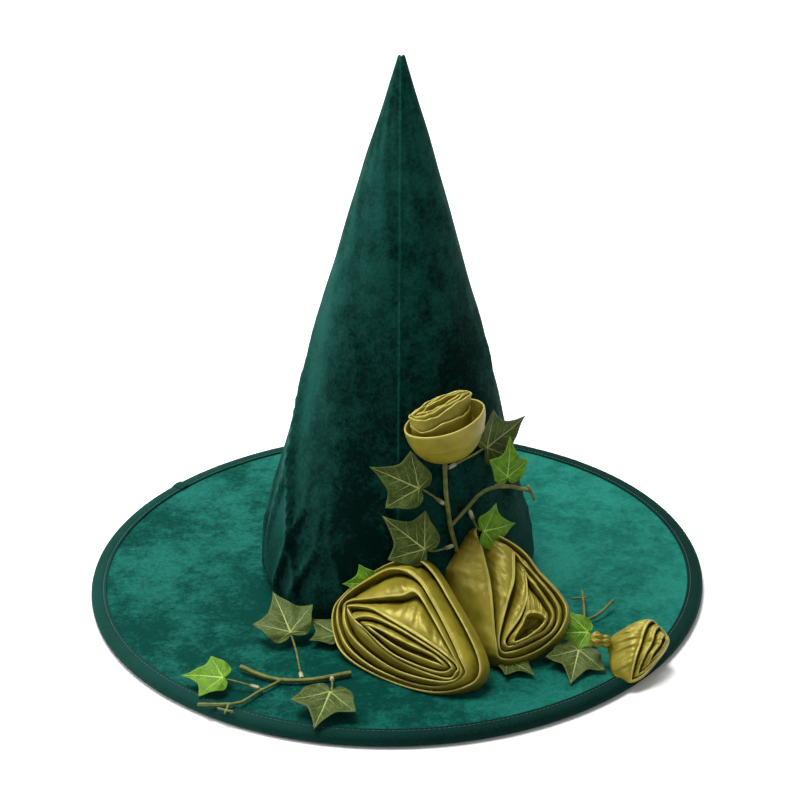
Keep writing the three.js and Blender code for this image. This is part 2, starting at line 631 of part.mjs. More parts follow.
function buildTrimmings() {
  const leaves = Object.entries(LEAVES);
  const pegged = leaves.map(([, leaf]) => leaf).filter((leaf) => leaf.peg);
  for (const name of Object.keys(stems)) {
    const pegs = pegged.filter((leaf) => leaf.peg[0] === name).map((leaf) => peg(pegOf(leaf)));
    add(name, toGeometry(join([stemSolid(name, 0), ...pegs])), STEM);
  }

  for (const [name, leaf] of leaves) {
    const color = leaf.bright ? BRIGHT_LEAF : DARK_LEAF;
    add(`leaf_${name}`, toGeometry(blade(leaf, 0)), color);
    if (!leaf.peg) continue;
    const mesh = add(`stalk_${name}`, toGeometry(stalk(leaf, 0)), STEM);
    const { foot, axis } = pegOf(leaf);
    mesh.userData.swivel = { point: foot.toArray(), axis: axis.toArray() };
  }

  // Ribbon gives way to the hat, the stems and the leaves that are tucked into it
  const hat = [crownBlank(), brimBlank()];
  const ivy = [
    ...Object.keys(stems).map((name) => stemSolid(name, FIT_GAP)),
    ...leaves.map(([, leaf]) => blade(leaf, leaf.peg ? SWING_ROOM : FIT_GAP)),
    ...pegged.map((leaf) => stalk(leaf, FIT_GAP)),
  ];
  const flower = (name, solid, tools) => add(name, toGeometry(largest(cut(solid, tools))), SATIN);
  const { rose_left: left, rose_right: right, bud } = FLOWERS;

  flower('rose_left_ribbon', wholeFlower(left), [...hat, ...ivy, heart(left, FIT_GAP)]);
  flower('rose_left_heart', heart(left, 0), hat);
  const clearOfLeft = wholeFlower(left, FIT_GAP);
  flower('rose_right_ribbon', wholeFlower(right), [...hat, ...ivy, clearOfLeft, heart(right, FIT_GAP)]);
  flower('rose_right_heart', heart(right, 0), [...hat, clearOfLeft]);
  const cup = topRoseCup();
  flower('rose_top_cup', cup, ivy);
  flower('rose_top_roll', topRoseRoll(), [cup]);
  flower('bud_ribbon', wholeFlower(bud), [...hat, ...ivy, wholeFlower(right, FIT_GAP), knot(FIT_GAP)]);
  flower('bud_knot', knot(0), [...hat, ...ivy]);
}

buildBrim();
buildCrown();
buildTrimmings();

export default group;
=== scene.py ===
"""A costume witch's hat: a velvet cone on a wired velvet brim, trimmed with satin roses and ivy.

Metres, +Z up, the wearer's front towards -Y, the brim's lowest plane at zero.
"""

import json
import math

import bmesh
import bpy
import numpy as np
from mathutils import Matrix, Vector

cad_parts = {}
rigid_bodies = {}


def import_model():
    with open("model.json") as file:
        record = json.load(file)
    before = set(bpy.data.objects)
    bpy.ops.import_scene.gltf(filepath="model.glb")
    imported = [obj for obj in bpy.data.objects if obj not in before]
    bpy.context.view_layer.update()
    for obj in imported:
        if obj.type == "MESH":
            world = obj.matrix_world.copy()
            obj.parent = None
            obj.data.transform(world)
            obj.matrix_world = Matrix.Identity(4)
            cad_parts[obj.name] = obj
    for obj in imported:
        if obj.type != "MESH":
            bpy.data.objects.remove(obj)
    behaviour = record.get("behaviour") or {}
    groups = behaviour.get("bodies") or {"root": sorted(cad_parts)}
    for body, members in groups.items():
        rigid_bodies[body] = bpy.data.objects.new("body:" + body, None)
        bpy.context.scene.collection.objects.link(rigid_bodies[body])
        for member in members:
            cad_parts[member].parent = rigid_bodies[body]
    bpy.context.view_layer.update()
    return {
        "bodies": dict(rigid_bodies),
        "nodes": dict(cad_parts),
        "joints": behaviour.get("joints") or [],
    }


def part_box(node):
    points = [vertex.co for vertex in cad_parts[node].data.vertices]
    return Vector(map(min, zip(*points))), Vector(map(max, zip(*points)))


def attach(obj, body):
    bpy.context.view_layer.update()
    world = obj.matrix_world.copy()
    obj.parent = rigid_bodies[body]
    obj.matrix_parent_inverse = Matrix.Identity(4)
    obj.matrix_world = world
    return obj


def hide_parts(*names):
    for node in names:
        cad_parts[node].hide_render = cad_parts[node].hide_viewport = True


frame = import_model()

# ---- Floor, light and camera ----
# The hat stands on a pale table, lit from above by one large soft lamp and filled a little
# from both sides, and is looked at from the front and a little above.

MM = 0.001

bpy.ops.object.select_all(action="DESELECT")
bpy.ops.mesh.primitive_plane_add(size=12, location=(0, 0, -0.0006))
floor = bpy.context.active_object
floor.name = "table"

paper = bpy.data.materials.new("pale_table")
paper.use_nodes = True
paper.node_tree.nodes["Principled BSDF"].inputs["Base Color"].default_value = (0.86, 0.86, 0.85, 1)
paper.node_tree.nodes["Principled BSDF"].inputs["Roughness"].default_value = 0.9
floor.data.materials.append(paper)

world = bpy.data.worlds.new("studio")
world.use_nodes = True
world.node_tree.nodes["Background"].inputs["Color"].default_value = (0.96, 0.98, 1, 1)
world.node_tree.nodes["Background"].inputs["Strength"].default_value = 0.38
bpy.context.scene.world = world
bpy.context.scene.view_settings.view_transform = "Standard"


def soft_lamp(name, place, aim, size, power):
    """A square area lamp that looks from its place at a point."""
    data = bpy.data.lights.new(name, "AREA")
    data.size = size
    data.energy = power
    lamp = bpy.data.objects.new(name, data)
    lamp.location = place
    lamp.rotation_euler = (Vector(aim) - Vector(place)).to_track_quat("-Z", "Y").to_euler()
    bpy.context.scene.collection.objects.link(lamp)


HAT_MIDDLE = (0, 0, 0.15)
soft_lamp("top_lamp", (-0.3, 0.15, 1.6), HAT_MIDDLE, 0.8, 41)
soft_lamp("left_lamp", (-1.6, 0.1, 0.8), HAT_MIDDLE, 0.7, 13)
soft_lamp("front_lamp", (0.7, -1.5, 1.5), (0.03, -0.12, 0.06), 0.5, 3)
soft_lamp("table_lamp", (0, 1.9, 1.5), (0, 1.5, 0), 1.6, 30)

CAMERA_DISTANCE = 1.4
CAMERA_HEIGHT = math.radians(29.79)
CAMERA_AIM = Vector((0.0047, 0, 0.1381))
CAMERA_ROLL = math.radians(-1.08)
lens = bpy.data.cameras.new("camera")
lens.lens = 86.18
camera = bpy.data.objects.new("camera", lens)
bpy.context.scene.collection.objects.link(camera)
camera.location = (0, -CAMERA_DISTANCE * math.cos(CAMERA_HEIGHT), CAMERA_DISTANCE * math.sin(CAMERA_HEIGHT))
look = (CAMERA_AIM - camera.location).to_track_quat("-Z", "Y").to_matrix()
camera.rotation_euler = (look @ Matrix.Rotation(CAMERA_ROLL, 3, "Z")).to_euler()
bpy.context.scene.camera = camera

# ---- Crown: two velvet panels ----
# Two half cones of crushed velvet, seamed down the front and the back. The cloth is puffed
# out over the join with the brim, creased where the hat was folded for its box, and ends
# in two small sewn points. It is glued to the stiffener, so its folds only stand outwards.


class Socket:
    """A shader value that builds Math nodes when it is used in an expression."""

    def __init__(self, maker, link):
        self.maker = maker
        self.link = link

    def sum_with(self, operation, other, turned=False):
        values = (other, self) if turned else (self, other)
        return self.maker.node("Math", {"operation": operation}, dict(enumerate(values)))

    def __add__(self, other):
        return self.sum_with("ADD", other)

    def __sub__(self, other):
        return self.sum_with("SUBTRACT", other)

    def __rsub__(self, other):
        return self.sum_with("SUBTRACT", other, True)

    def __mul__(self, other):
        return self.sum_with("MULTIPLY", other)

    def __truediv__(self, other):
        return self.sum_with("DIVIDE", other)

    def __pow__(self, other):
        return self.sum_with("POWER", other)

    __radd__ = __add__
    __rmul__ = __mul__

    def least(self, other):
        return self.sum_with("MINIMUM", other)

    def most(self, other):
        return self.sum_with("MAXIMUM", other)

    def sine(self):
        return self.maker.node("Math", {"operation": "SINE"}, {0: self})

    def size(self):
        return self.maker.node("Math", {"operation": "ABSOLUTE"}, {0: self})

    def step(self, low, high, start=0.0, end=1.0):
        """Smoothly from start to end as this value goes from low to high."""
        inputs = {"Value": self, "From Min": low, "From Max": high, "To Min": start, "To Max": end}
        return self.maker.node("MapRange", {"interpolation_type": "SMOOTHSTEP"}, inputs)


class Finish:
    """A material whose nodes are made by one method and whose sockets are Socket values."""

    def __init__(self, name, **constants):
        self.material = bpy.data.materials.new(name)
        self.material.use_nodes = True
        self.tree = self.material.node_tree
        self.shader = self.tree.nodes["Principled BSDF"]
        for label, value in constants.items():
            self.shader.inputs[label.replace("_", " ")].default_value = value

    def node(self, kind, settings=None, inputs=None, output=0):
        made = self.tree.nodes.new("ShaderNode" + kind)
        for label, value in (settings or {}).items():
            if label == "stops":
                while len(made.color_ramp.elements) < len(value):
                    made.color_ramp.elements.new(0.5)
                for element, (place, color) in zip(made.color_ramp.elements, value):
                    element.position = place
                    element.color = (*color, 1)
            else:
                setattr(made, label, value)
        for label, value in (inputs or {}).items():
            if isinstance(value, Socket):
                self.tree.links.new(value.link, made.inputs[label])
            else:
                made.inputs[label].default_value = value
        return Socket(self, made.outputs[output])

    def place(self):
        return self.node("TexCoord", output="Object")

    def uv(self):
        return self.node("TexCoord", output="UV")

    def attribute(self, name):
        return self.node("Attribute", {"attribute_name": name}, output="Fac")

    def parts(self, vector):
        split = self.node("SeparateXYZ", inputs={0: vector}).link.node
        return [Socket(self, split.outputs[i]) for i in range(3)]

    def point(self, x, y, z=0.0):
        return self.node("CombineXYZ", inputs={0: x, 1: y, 2: z})

    def stretched(self, vector, scale):
        return self.node("Mapping", inputs={"Vector": vector, "Scale": scale})

    def noise(self, vector, scale, detail=2.0, roughness=0.5, distortion=0.0):
        inputs = {"Vector": vector, "Scale": scale, "Detail": detail,
                  "Roughness": roughness, "Distortion": distortion}
        return self.node("TexNoise", inputs=inputs)

    def ramp(self, value, *stops):
        return self.node("ValToRGB", {"stops": stops}, {0: value})

    def mix(self, share, first, second):
        color = {"data_type": "RGBA"}
        first = (*first, 1) if isinstance(first, tuple) else first
        second = (*second, 1) if isinstance(second, tuple) else second
        return self.node("Mix", color, {0: share, 6: first, 7: second}, output=2)

    def bump(self, height, distance, strength=1.0, under=None):
        inputs = {"Height": height, "Distance": distance, "Strength": strength}
        if under is not None:
            inputs["Normal"] = under
        return self.node("Bump", inputs=inputs)

    def feed(self, **sockets):
        for label, value in sockets.items():
            self.tree.links.new(value.link, self.shader.inputs[label.replace("_", " ")])
        return self.material


def crushed_velvet(name, shade, lit, patch_size, sheen):
    """Velvet whose crushed pile lies in patches that look lighter or darker.

    Painted light and shade come from one attribute of the piece, and a painted highlight along the seams from
    its "seam" attribute.
    """
    velvet = Finish(name, Sheen_Weight=sheen, Sheen_Roughness=0.35, Sheen_Tint=(0.03, 0.6, 0.48, 1),
                    Specular_IOR_Level=0.12, Specular_Tint=(0.06, 0.7, 0.56, 1))
    place = velvet.place()
    patches = velvet.noise(place, 1 / patch_size, 5, 0.75)
    drift = velvet.noise(velvet.stretched(place, (1, 1, 0.55)), 14, 3, 0.55)
    speckle = velvet.noise(place, 400, 3, 0.8)
    pile = velvet.noise(place, 1200, 3, 0.75)
    light = (patches * 0.5 + drift * 0.5).step(0.39, 0.61)
    # The patches and speckle are the velvet's own uneven tone; the attributes add painted light, painted
    # shade and a painted seam highlight
    amount = (light * 0.52 + speckle.step(0.3, 0.7) * 0.36
              + velvet.attribute("nap") + velvet.attribute("seam") * 0.25)
    under = velvet.bump(patches, 1.5 * MM, 0.4, velvet.bump(speckle, 0.7 * MM, 0.45))
    return velvet.feed(Base_Color=velvet.mix(amount.most(0.0).least(1.0), shade, lit),
                       Roughness=light.step(0, 1, 0.97, 0.8), Normal=velvet.bump(pile, 0.4 * MM, 0.5, under))


crown_velvet = crushed_velvet("crown_crushed_velvet", (0.0004, 0.0042, 0.0032), (0.0058, 0.054, 0.0415),
                              0.016, 0.05)


def new_piece(name, bm, material, smooth=True):
    """A named object at the origin from a finished bmesh."""
    mesh = bpy.data.meshes.new(name)
    bm.to_mesh(mesh)
    bm.free()
    mesh.materials.append(material)
    if smooth:
        mesh.shade_smooth()
    piece = bpy.data.objects.new(name, mesh)
    bpy.context.scene.collection.objects.link(piece)
    return piece


def use_only(piece):
    bpy.ops.object.select_all(action="DESELECT")
    piece.select_set(True)
    bpy.context.view_layer.objects.active = piece


def apply_all(piece):
    use_only(piece)
    for modifier in list(piece.modifiers):
        bpy.ops.object.modifier_apply(modifier=modifier.name)


def give_thickness(piece, thickness, side=-1.0):
    """Cloth of an even thickness; side -1 puts it behind the modelled face."""
    solid = piece.modifiers.new("thickness", "SOLIDIFY")
    solid.thickness = thickness
    solid.offset = side
    solid.use_even_offset = False
    apply_all(piece)


def grid_bmesh(points, closed_columns=False, attributes=None):
    """A quad sheet over points[row][column]; columns may close into a ring.

    Its UV map runs 0 to 1 along the columns and up the rows.
    """
    rows, columns = len(points), len(points[0])
    bm = bmesh.new()
    uv = bm.loops.layers.uv.new("UVMap")
    layers = {label: bm.verts.layers.float.new(label) for label in (attributes or {})}
    verts = [[bm.verts.new(point) for point in row] for row in points]
    for label, values in (attributes or {}).items():
        for r in range(rows):
            for c in range(columns):
                verts[r][c][layers[label]] = values[r][c]
    last = columns if closed_columns else columns - 1
    for r in range(rows - 1):
        for c in range(last):
            n = (c + 1) % columns
            face = bm.faces.new((verts[r][c], verts[r][n], verts[r + 1][n], verts[r + 1][c]))
            corners = ((c, r), (c + 1, r), (c + 1, r + 1), (c, r + 1))
            for loop, (i, j) in zip(face.loops, corners):
                loop[uv].uv = (i / last, j / (rows - 1))
    return bm


def spread(low, high, count):
    return [low + (high - low) * i / (count - 1) for i in range(count)]


def smooth(value, low, high):
    t = min(max((value - low) / (high - low), 0), 1)
    return t * t * (3 - 2 * t)


def ripple(x, y, seed):
    """A soft, repeatable unevenness between about -1 and 1."""
    waves = ((1.0, 0.31, 1.7), (-0.47, 0.94, 2.9), (0.63, -1.21, 4.3), (1.73, 0.83, 0.6))
    return sum(math.sin(a * x + b * y + phase * seed) for a, b, phase in waves) / 2.4


low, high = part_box("crown_panel_left")
CROWN_FOOT = low[2]
CROWN_TOP = high[2]
CROWN_HEIGHT = CROWN_TOP - CROWN_FOOT
FOOT_RADIUS = 92.7 * MM
TIP_RADIUS = 2.6 * MM
CROWN_PUFF = 8 * MM
PUFF_HEIGHT = 11 * MM
CROWN_BOW = 6 * MM
CROWN_LEAN = 9.8 * MM
VELVET_THICKNESS = 1 * MM


def crown_share(z):
    return min(max((z - CROWN_FOOT) / CROWN_HEIGHT, 0), 1)


def crown_radius(z):
    """Outer radius of the plain cone at a height."""
    t = crown_share(z)
    puff = CROWN_PUFF * (1 - math.exp(-t * CROWN_HEIGHT / PUFF_HEIGHT)) * (1 - t) ** 2
    return FOOT_RADIUS + (TIP_RADIUS - FOOT_RADIUS) * t + puff + CROWN_BOW * math.sin(math.pi * t)


def crown_point(azimuth, z, off=0.0):
    r = crown_radius(z) + off
    return Vector((CROWN_LEAN * crown_share(z) + r * math.cos(azimuth), r * math.sin(azimuth), z))


# Creases of the crown: from and to (azimuth in degrees, height in mm), height and half width in mm
CREASES = (
    ((-168, 158), (-136, 30), 5.5, 4.5),
    ((-156, 112), (-166, 52), 4.2, 4),
    ((-139, 84), (-152, 12), 4.4, 4),
    ((-128, 60), (-142, 12), 3.0, 3.5),
    ((-176, 90), (-172, 20), 3.2, 4),
    ((-122, 70), (-108, 20), 2.6, 8),
    ((-178, 215), (-158, 120), 3.2, 9),
    ((-8, 190), (-20, 150), 3.4, 12),
    ((-14, 90), (-6, 30), 3.4, 8),
    ((20, 120), (44, 30), 2.4, 9),
    ((75, 90), (60, 20), 2.2, 8),
    ((118, 140), (132, 40), 2.6, 9),
    ((160, 60), (174, 16), 2.0, 7),
)


def crease_height(azimuth, z):
    """How far the creases lift the velvet at a place."""
    r = crown_radius(z)
    lift = 0.0
    for (a0, z0), (a1, z1), height, width in CREASES:
        share = min(max((z / MM - z0) / (z1 - z0), 0), 1)
        middle = math.radians(a0 + (a1 - a0) * share)
        turn = (azimuth - middle + math.pi) % (2 * math.pi) - math.pi
        across = turn * r
        past = max(z - max(z0, z1) * MM, min(z0, z1) * MM - z, 0)
        fall = math.exp(-((past / (18 * MM)) ** 2)) * math.sin(math.pi * (0.12 + 0.76 * share))
        # Each crease is a sharp ridge with a soft shoulder on one side
        ridge = math.exp(-abs(across) / (width * MM * (0.45 if across > 0 else 1.1)))
        lift += height * MM * ridge * fall
    return lift


def velvet_lift(azimuth, z, seam):
    """How far the velvet stands off the plain cone: soft folds, creases and the seam's ridge."""
    t = crown_share(z)
    r = crown_radius(z)
    turn = azimuth + math.radians(66)
    under_ivy = math.exp(-((turn * r / (46 * MM)) ** 4)) * smooth(z, 40 * MM, 60 * MM)
    under_ivy *= 1 - smooth(z, 175 * MM, 200 * MM)
    folds = 1.25 * (1 + ripple(azimuth * 3.1, z / (26 * MM), 1.0)) * (0.35 + 0.65 * (1 - t) ** 0.7)
    fine = 0.32 * (1 + ripple(azimuth * 9.0, z / (9 * MM), 2.0))
    base = 2.0 * (1 + ripple(azimuth * 7.0, z / (30 * MM), 3.0)) * math.exp(-(z - CROWN_FOOT) / (24 * MM))
    gathers = base * smooth(z - CROWN_FOOT, 0, 9 * MM)
    lift = (folds + fine + gathers) * MM * min(t * 30, 1) * (1 - t ** 6) + crease_height(azimuth, z)
    ridge = 0.75 * MM * math.exp(-((seam * r / (0.9 * MM)) ** 2))
    dimple = -0.5 * MM * math.exp(-((seam * r / (5 * MM)) ** 2)) * (1 - t)
    return max(lift * (1 - 0.95 * under_ivy) + dimple, 0.05 * MM) + ridge * smooth(z, CROWN_FOOT, 30 * MM)


def patch(azimuth, z, middle, height, wide, tall):
    """1 in the middle of a soft round patch of the crown, 0 away from it; degrees and mm."""
    turn = (math.degrees(azimuth) - middle + 180) % 360 - 180
    return math.exp(-((turn / wide) ** 2) - ((z / MM - height) / tall) ** 2)


def crown_painted_light(azimuth, z, slope):
    """Painted light and shade: lighter on the right flank and where a fold turns that way, darker low in
    front.
    """
    shine = 0.5 * patch(azimuth, z, -166, 170, 26, 110) + 0.4 * patch(azimuth, z, -157, 66, 9, 26)
    dark = 0.34 * patch(azimuth, z, -112, 70, 26, 60) + 0.3 * patch(azimuth, z, -30, 120, 60, 120)
    return shine - dark + min(max(slope * 0.9, -0.45), 0.55)


CROWN_ROWS = 190
CROWN_COLUMNS = 165


def crown_velvet_panel(name, node, start):
    """Half of the crown from one seam to the other, its top drawn into a small sewn point."""
    half_slit = 0.1 * MM
    rows, painted_seam_highlights, painted_light_rows = [], [], []
    levels = [CROWN_FOOT + CROWN_HEIGHT * (i / (CROWN_ROWS - 1)) ** 1.25 for i in range(CROWN_ROWS)]
    for z in levels:
        margin = half_slit / crown_radius(z)
        turns = []
        for i in range(CROWN_COLUMNS):
            u = i / (CROWN_COLUMNS - 1)
            u -= 0.85 * math.sin(2 * math.pi * u) / (2 * math.pi)
            turns.append(start + margin + (math.pi - 2 * margin) * u)
        from_seam = [min(azimuth - start, start + math.pi - azimuth) for azimuth in turns]
        lifts = [velvet_lift(azimuth, z, away) for azimuth, away in zip(turns, from_seam)]
        # Painted light and shade follow these slopes and patches, and a painted highlight runs along each
        # seam
        slopes = np.gradient(np.array(lifts), np.array(turns) * crown_radius(z))
        rows.append([crown_point(azimuth, z, lift) for azimuth, lift in zip(turns, lifts)])
        painted_seam_highlights.append([math.exp(-((away * crown_radius(z) / (1.1 * MM)) ** 2)) for away in from_seam])
        painted_light_rows.append([crown_painted_light(azimuth, z, slope) * smooth(away * crown_radius(z), 0, 4 * MM)
                     for azimuth, slope, away in zip(turns, slopes, from_seam)])
    # The seam allowance stands up as a little point in the middle of each panel's top
    outward = math.cos(start + math.pi / 2)
    for rise, narrow in ((0.4, 0.9), (0.9, 0.7), (1.3, 0.42), (1.6, 0.12)):
        middle = Vector((CROWN_LEAN + outward * (1.2 + 0.2 * rise) * MM, 0, CROWN_TOP + rise * MM))
        flat = sum(rows[CROWN_ROWS - 1], Vector()) / CROWN_COLUMNS
        flat.z = CROWN_TOP
        rows.append([middle + (p - flat) * narrow for p in rows[CROWN_ROWS - 1]])
        painted_seam_highlights.append([0.0] * CROWN_COLUMNS)
        painted_light_rows.append([0.0] * CROWN_COLUMNS)
    for row in rows[CROWN_ROWS:]:
        for p in row:
            p.z = max(p.z, CROWN_TOP + 0.2 * MM)
    piece = new_piece(name, grid_bmesh(rows, False, {"seam": painted_seam_highlights, "nap": painted_light_rows}), crown_velvet)
    give_thickness(piece, VELVET_THICKNESS)
    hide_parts(node)
    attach(piece, "hat")
    return piece


# Half of a cone's unrolled surface, with its bow: half the foot's circumference by slant height
for side, start in (("right", -math.pi / 2), ("left", math.pi / 2)):
    panel = crown_velvet_panel(f"crown_velvet_{side}", f"crown_panel_{side}", start)

# ---- Crown: stiffener, lining and sweatband ----
# Inside the velvet stands a cone of stiff bonded felt. A black lining hangs in it in loose
# pleats, and a ribbed ribbon is sewn round the opening where the hat sits on the head.

felt = Finish("bonded_felt", Roughness=0.95)
fibres = felt.noise(felt.place(), 420, 5, 0.7, 1.5)
felt.feed(Base_Color=felt.mix(fibres.step(0.3, 0.7), (0.36, 0.36, 0.34), (0.52, 0.52, 0.49)),
          Normal=felt.bump(fibres, 0.5 * MM, 0.6))


def dress_node(node, material):
    """Gives a CAD node that is shown as it is a better material."""
    piece = frame["nodes"][node]
    piece.data.materials.clear()
    piece.data.materials.append(material)


dress_node("crown_stiffener", felt.material)

lining_cloth = Finish("black_lining_cloth", Roughness=0.7, Sheen_Weight=0.25, Sheen_Roughness=0.5,
                      Specular_IOR_Level=0.3)
across_u, along_v, _ = lining_cloth.parts(lining_cloth.uv())
threads = (across_u * 2600).sine() * 0.5 + (along_v * 1900).sine() * 0.5
lint = lining_cloth.noise(lining_cloth.place(), 160, 4, 0.6)
lining_cloth.feed(Base_Color=lining_cloth.mix(lint.step(0.35, 0.75), (0.006, 0.0065, 0.007),
                                              (0.018, 0.019, 0.02)),
                  Normal=lining_cloth.bump(threads + lint * 2, 0.12 * MM, 0.5))

LINING_INSET = 3.15 * MM
LINING_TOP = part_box("crown_lining")[1][2]
LINING_PLEATS = 23


def lining_point(azimuth, z):
    loose = smooth(z, 30 * MM, 90 * MM) * (1 - crown_share(z)) ** 0.4
    pleat = (0.5 + 0.5 * math.sin(azimuth * LINING_PLEATS + 2.2 * math.sin(azimuth * 3) + z * 9)) ** 2
    sag = 0.5 + 0.5 * ripple(azimuth * 4, z / (20 * MM), 5.0)
    return crown_point(azimuth, z, -LINING_INSET - (1.9 * pleat + 1.2 * sag) * MM * loose)


levels = spread(CROWN_FOOT, LINING_TOP, 90)
turns = [2 * math.pi * i / 230 for i in range(230)]
lining = new_piece("crown_lining_cloth",
                   grid_bmesh([[lining_point(a, z) for a in turns] for z in levels], True),
                   lining_cloth.material)
give_thickness(lining, 0.4 * MM)
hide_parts("crown_lining")
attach(lining, "hat")

grosgrain = Finish("ribbed_ribbon", Roughness=0.55, Sheen_Weight=0.15, Specular_IOR_Level=0.4)
rib_u, rib_v, _ = grosgrain.parts(grosgrain.uv())
ribs = (rib_u * (2 * math.pi * 420)).sine() * 0.5 + 0.5
wear = grosgrain.noise(grosgrain.place(), 60, 4)
edge = (rib_v - 0.5).size().step(0.44, 0.49)
grosgrain.feed(Base_Color=grosgrain.mix(ribs * 0.5 + wear * 0.4 + edge * 0.3, (0.005, 0.006, 0.006),
                                        (0.03, 0.031, 0.033)),
               Normal=grosgrain.bump(ribs, 0.25 * MM, 0.8))

band_low, band_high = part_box("sweatband")
BAND_OUTER = band_high[0]
rows = []
for i, z in enumerate(spread(band_low[2], band_high[2], 25)):
    share = i / 24
    # The ribbon's edges are woven thicker, and it bows a little towards the head
    selvedge = 0.12 * MM * (math.exp(-((share / 0.05) ** 2)) + math.exp(-(((1 - share) / 0.05) ** 2)))
    bow = 0.7 * MM * math.sin(math.pi * share)
    rows.append([Vector(((BAND_OUTER - 0.25 * MM - bow * (0.6 + 0.4 * math.sin(5 * a)) + selvedge)
                         * math.cos(a),
                         (BAND_OUTER - 0.25 * MM - bow * (0.6 + 0.4 * math.sin(5 * a)) + selvedge)
                         * math.sin(a), z))
                 for a in turns])
sweatband = new_piece("sweatband_ribbon", grid_bmesh(rows, True), grosgrain.material)
give_thickness(sweatband, 0.7 * MM)
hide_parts("sweatband")
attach(sweatband, "hat")

# ---- Brim: covers, foam and wire ----
# A disc of foam between a velvet cover and a black underside, with a steel hoop in the edge.
# The velvet is glued down, so it only waves a little.

brim_velvet = crushed_velvet("brim_crushed_velvet", (0.001, 0.029, 0.021), (0.0095, 0.133, 0.1), 0.014, 0.045)

foam = Finish("open_foam", Roughness=0.95)
cells = foam.node("TexVoronoi", inputs={"Vector": foam.place(), "Scale": 900.0})
foam.feed(Base_Color=foam.mix(cells, (0.5, 0.48, 0.42), (0.72, 0.7, 0.63)), Normal=foam.bump(cells, 0.5 * MM))
dress_node("brim_foam", foam.material)

steel = Finish("drawn_steel", Metallic=1.0)
scratches = steel.noise(steel.place(), 300, 3)
steel.feed(Base_Color=steel.mix(scratches, (0.45, 0.45, 0.46), (0.62, 0.62, 0.63)),
           Roughness=scratches.step(0.2, 0.8, 0.28, 0.5))
dress_node("brim_wire", steel.material)
dress_node("wire_ferrule", steel.material)

BRIM_TURNS = 220
brim_angles = [2 * math.pi * i / BRIM_TURNS for i in range(BRIM_TURNS)]
_, top_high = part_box("brim_top_cover")
under_low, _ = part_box("brim_underside_cover")
COVER_RADIUS = top_high[0]
OPENING_RADIUS = 89.2 * MM


def ring_sheet(radii, height):
    """A flat ring of cloth; height gives its level at a radius and azimuth."""
    return [[Vector((r * math.cos(a), r * math.sin(a), height(r, a))) for a in brim_angles] for r in radii]


def velvet_level(r, a):
    wave = 0.22 * (ripple(r * 45 + 2 * math.cos(a), 3 * math.sin(a) * r * 12, 4.0) - 1.1)
    rolled = -0.5 * smooth(r, COVER_RADIUS - 8 * MM, COVER_RADIUS)
    return top_high[2] + (wave + rolled) * MM


cover_radii = spread(COVER_RADIUS, OPENING_RADIUS, 70)
# Painted light and shade: the velvet is coloured lighter at the wearer's left and darker in front
brim_painted_light = [[0.05 + 0.22 * math.cos(a) + 0.3 * min(math.sin(a), 0) for a in brim_angles] for _ in cover_radii]
brim_top = new_piece("brim_velvet_cover",
                     grid_bmesh(ring_sheet(cover_radii, velvet_level), True, {"nap": brim_painted_light}), brim_velvet)
give_thickness(brim_top, 0.45 * MM)
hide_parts("brim_top_cover")
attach(brim_top, "hat")


def underside_level(r, a):
    """Two rows of quilting draw the cloth up into the foam."""
    stitched = sum(math.exp(-(((r - line * MM) / (1.4 * MM)) ** 2)) for line in (100, 150, 200))
    return under_low[2] + (0.12 * (1 + ripple(r * 60, 6 * math.sin(a), 6.0)) + 0.3 * min(stitched, 1)) * MM


underside = new_piece("brim_black_underside",
                      grid_bmesh(ring_sheet(spread(OPENING_RADIUS, COVER_RADIUS, 110), underside_level),
                                 True),
                      lining_cloth.material)
give_thickness(underside, 0.3 * MM)
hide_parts("brim_underside_cover")
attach(underside, "hat")

# ---- Brim: edge binding ----
# A velvet tape folded over the edge and sewn through, so that its body rolls up between the
# edge and a sunk line of stitches. Its end is turned under and lapped over its start.

_, binding_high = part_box("brim_edge_binding")
BRIM_RADIUS = binding_high[0]
TAPE_INNER = BRIM_RADIUS - 11 * MM
TAPE_TOP = binding_high[2]
STITCH_RADIUS = TAPE_INNER + 2.2 * MM
STITCH_PITCH = 3.2 * MM
LAP_ANGLE = math.radians(141)

tape = Finish("velvet_tape", Sheen_Weight=0.05, Sheen_Roughness=0.4, Sheen_Tint=(0.1, 0.7, 0.55, 1),
              Specular_IOR_Level=0.15, Specular_Tint=(0.1, 0.7, 0.6, 1), Roughness=0.9)
tape_place = tape.place()
tape_x, _, _ = tape.parts(tape_place)
nap = tape.noise(tape_place, 900, 3, 0.7)
patches = tape.noise(tape_place, 45, 4, 0.6)
# Painted light: the tape is coloured lighter and greener on the wearer's right side
painted_lit_side = (tape_x * -1).step(-0.06, 0.16)
shaded_side_tape = tape.mix(patches, (0.0004, 0.0035, 0.0027), (0.0015, 0.0105, 0.008))
lit_side_tape = tape.mix(patches, (0.0015, 0.015, 0.012), (0.006, 0.04, 0.031))
tape_color = tape.mix(painted_lit_side, shaded_side_tape, lit_side_tape)
tape.feed(Base_Color=tape.mix(nap.step(0.3, 0.75) * 0.35, tape_color, (0.006, 0.04, 0.031)),
          Normal=tape.bump(nap, 0.5 * MM, 0.6, tape.bump(patches, 1.2 * MM, 0.4)))


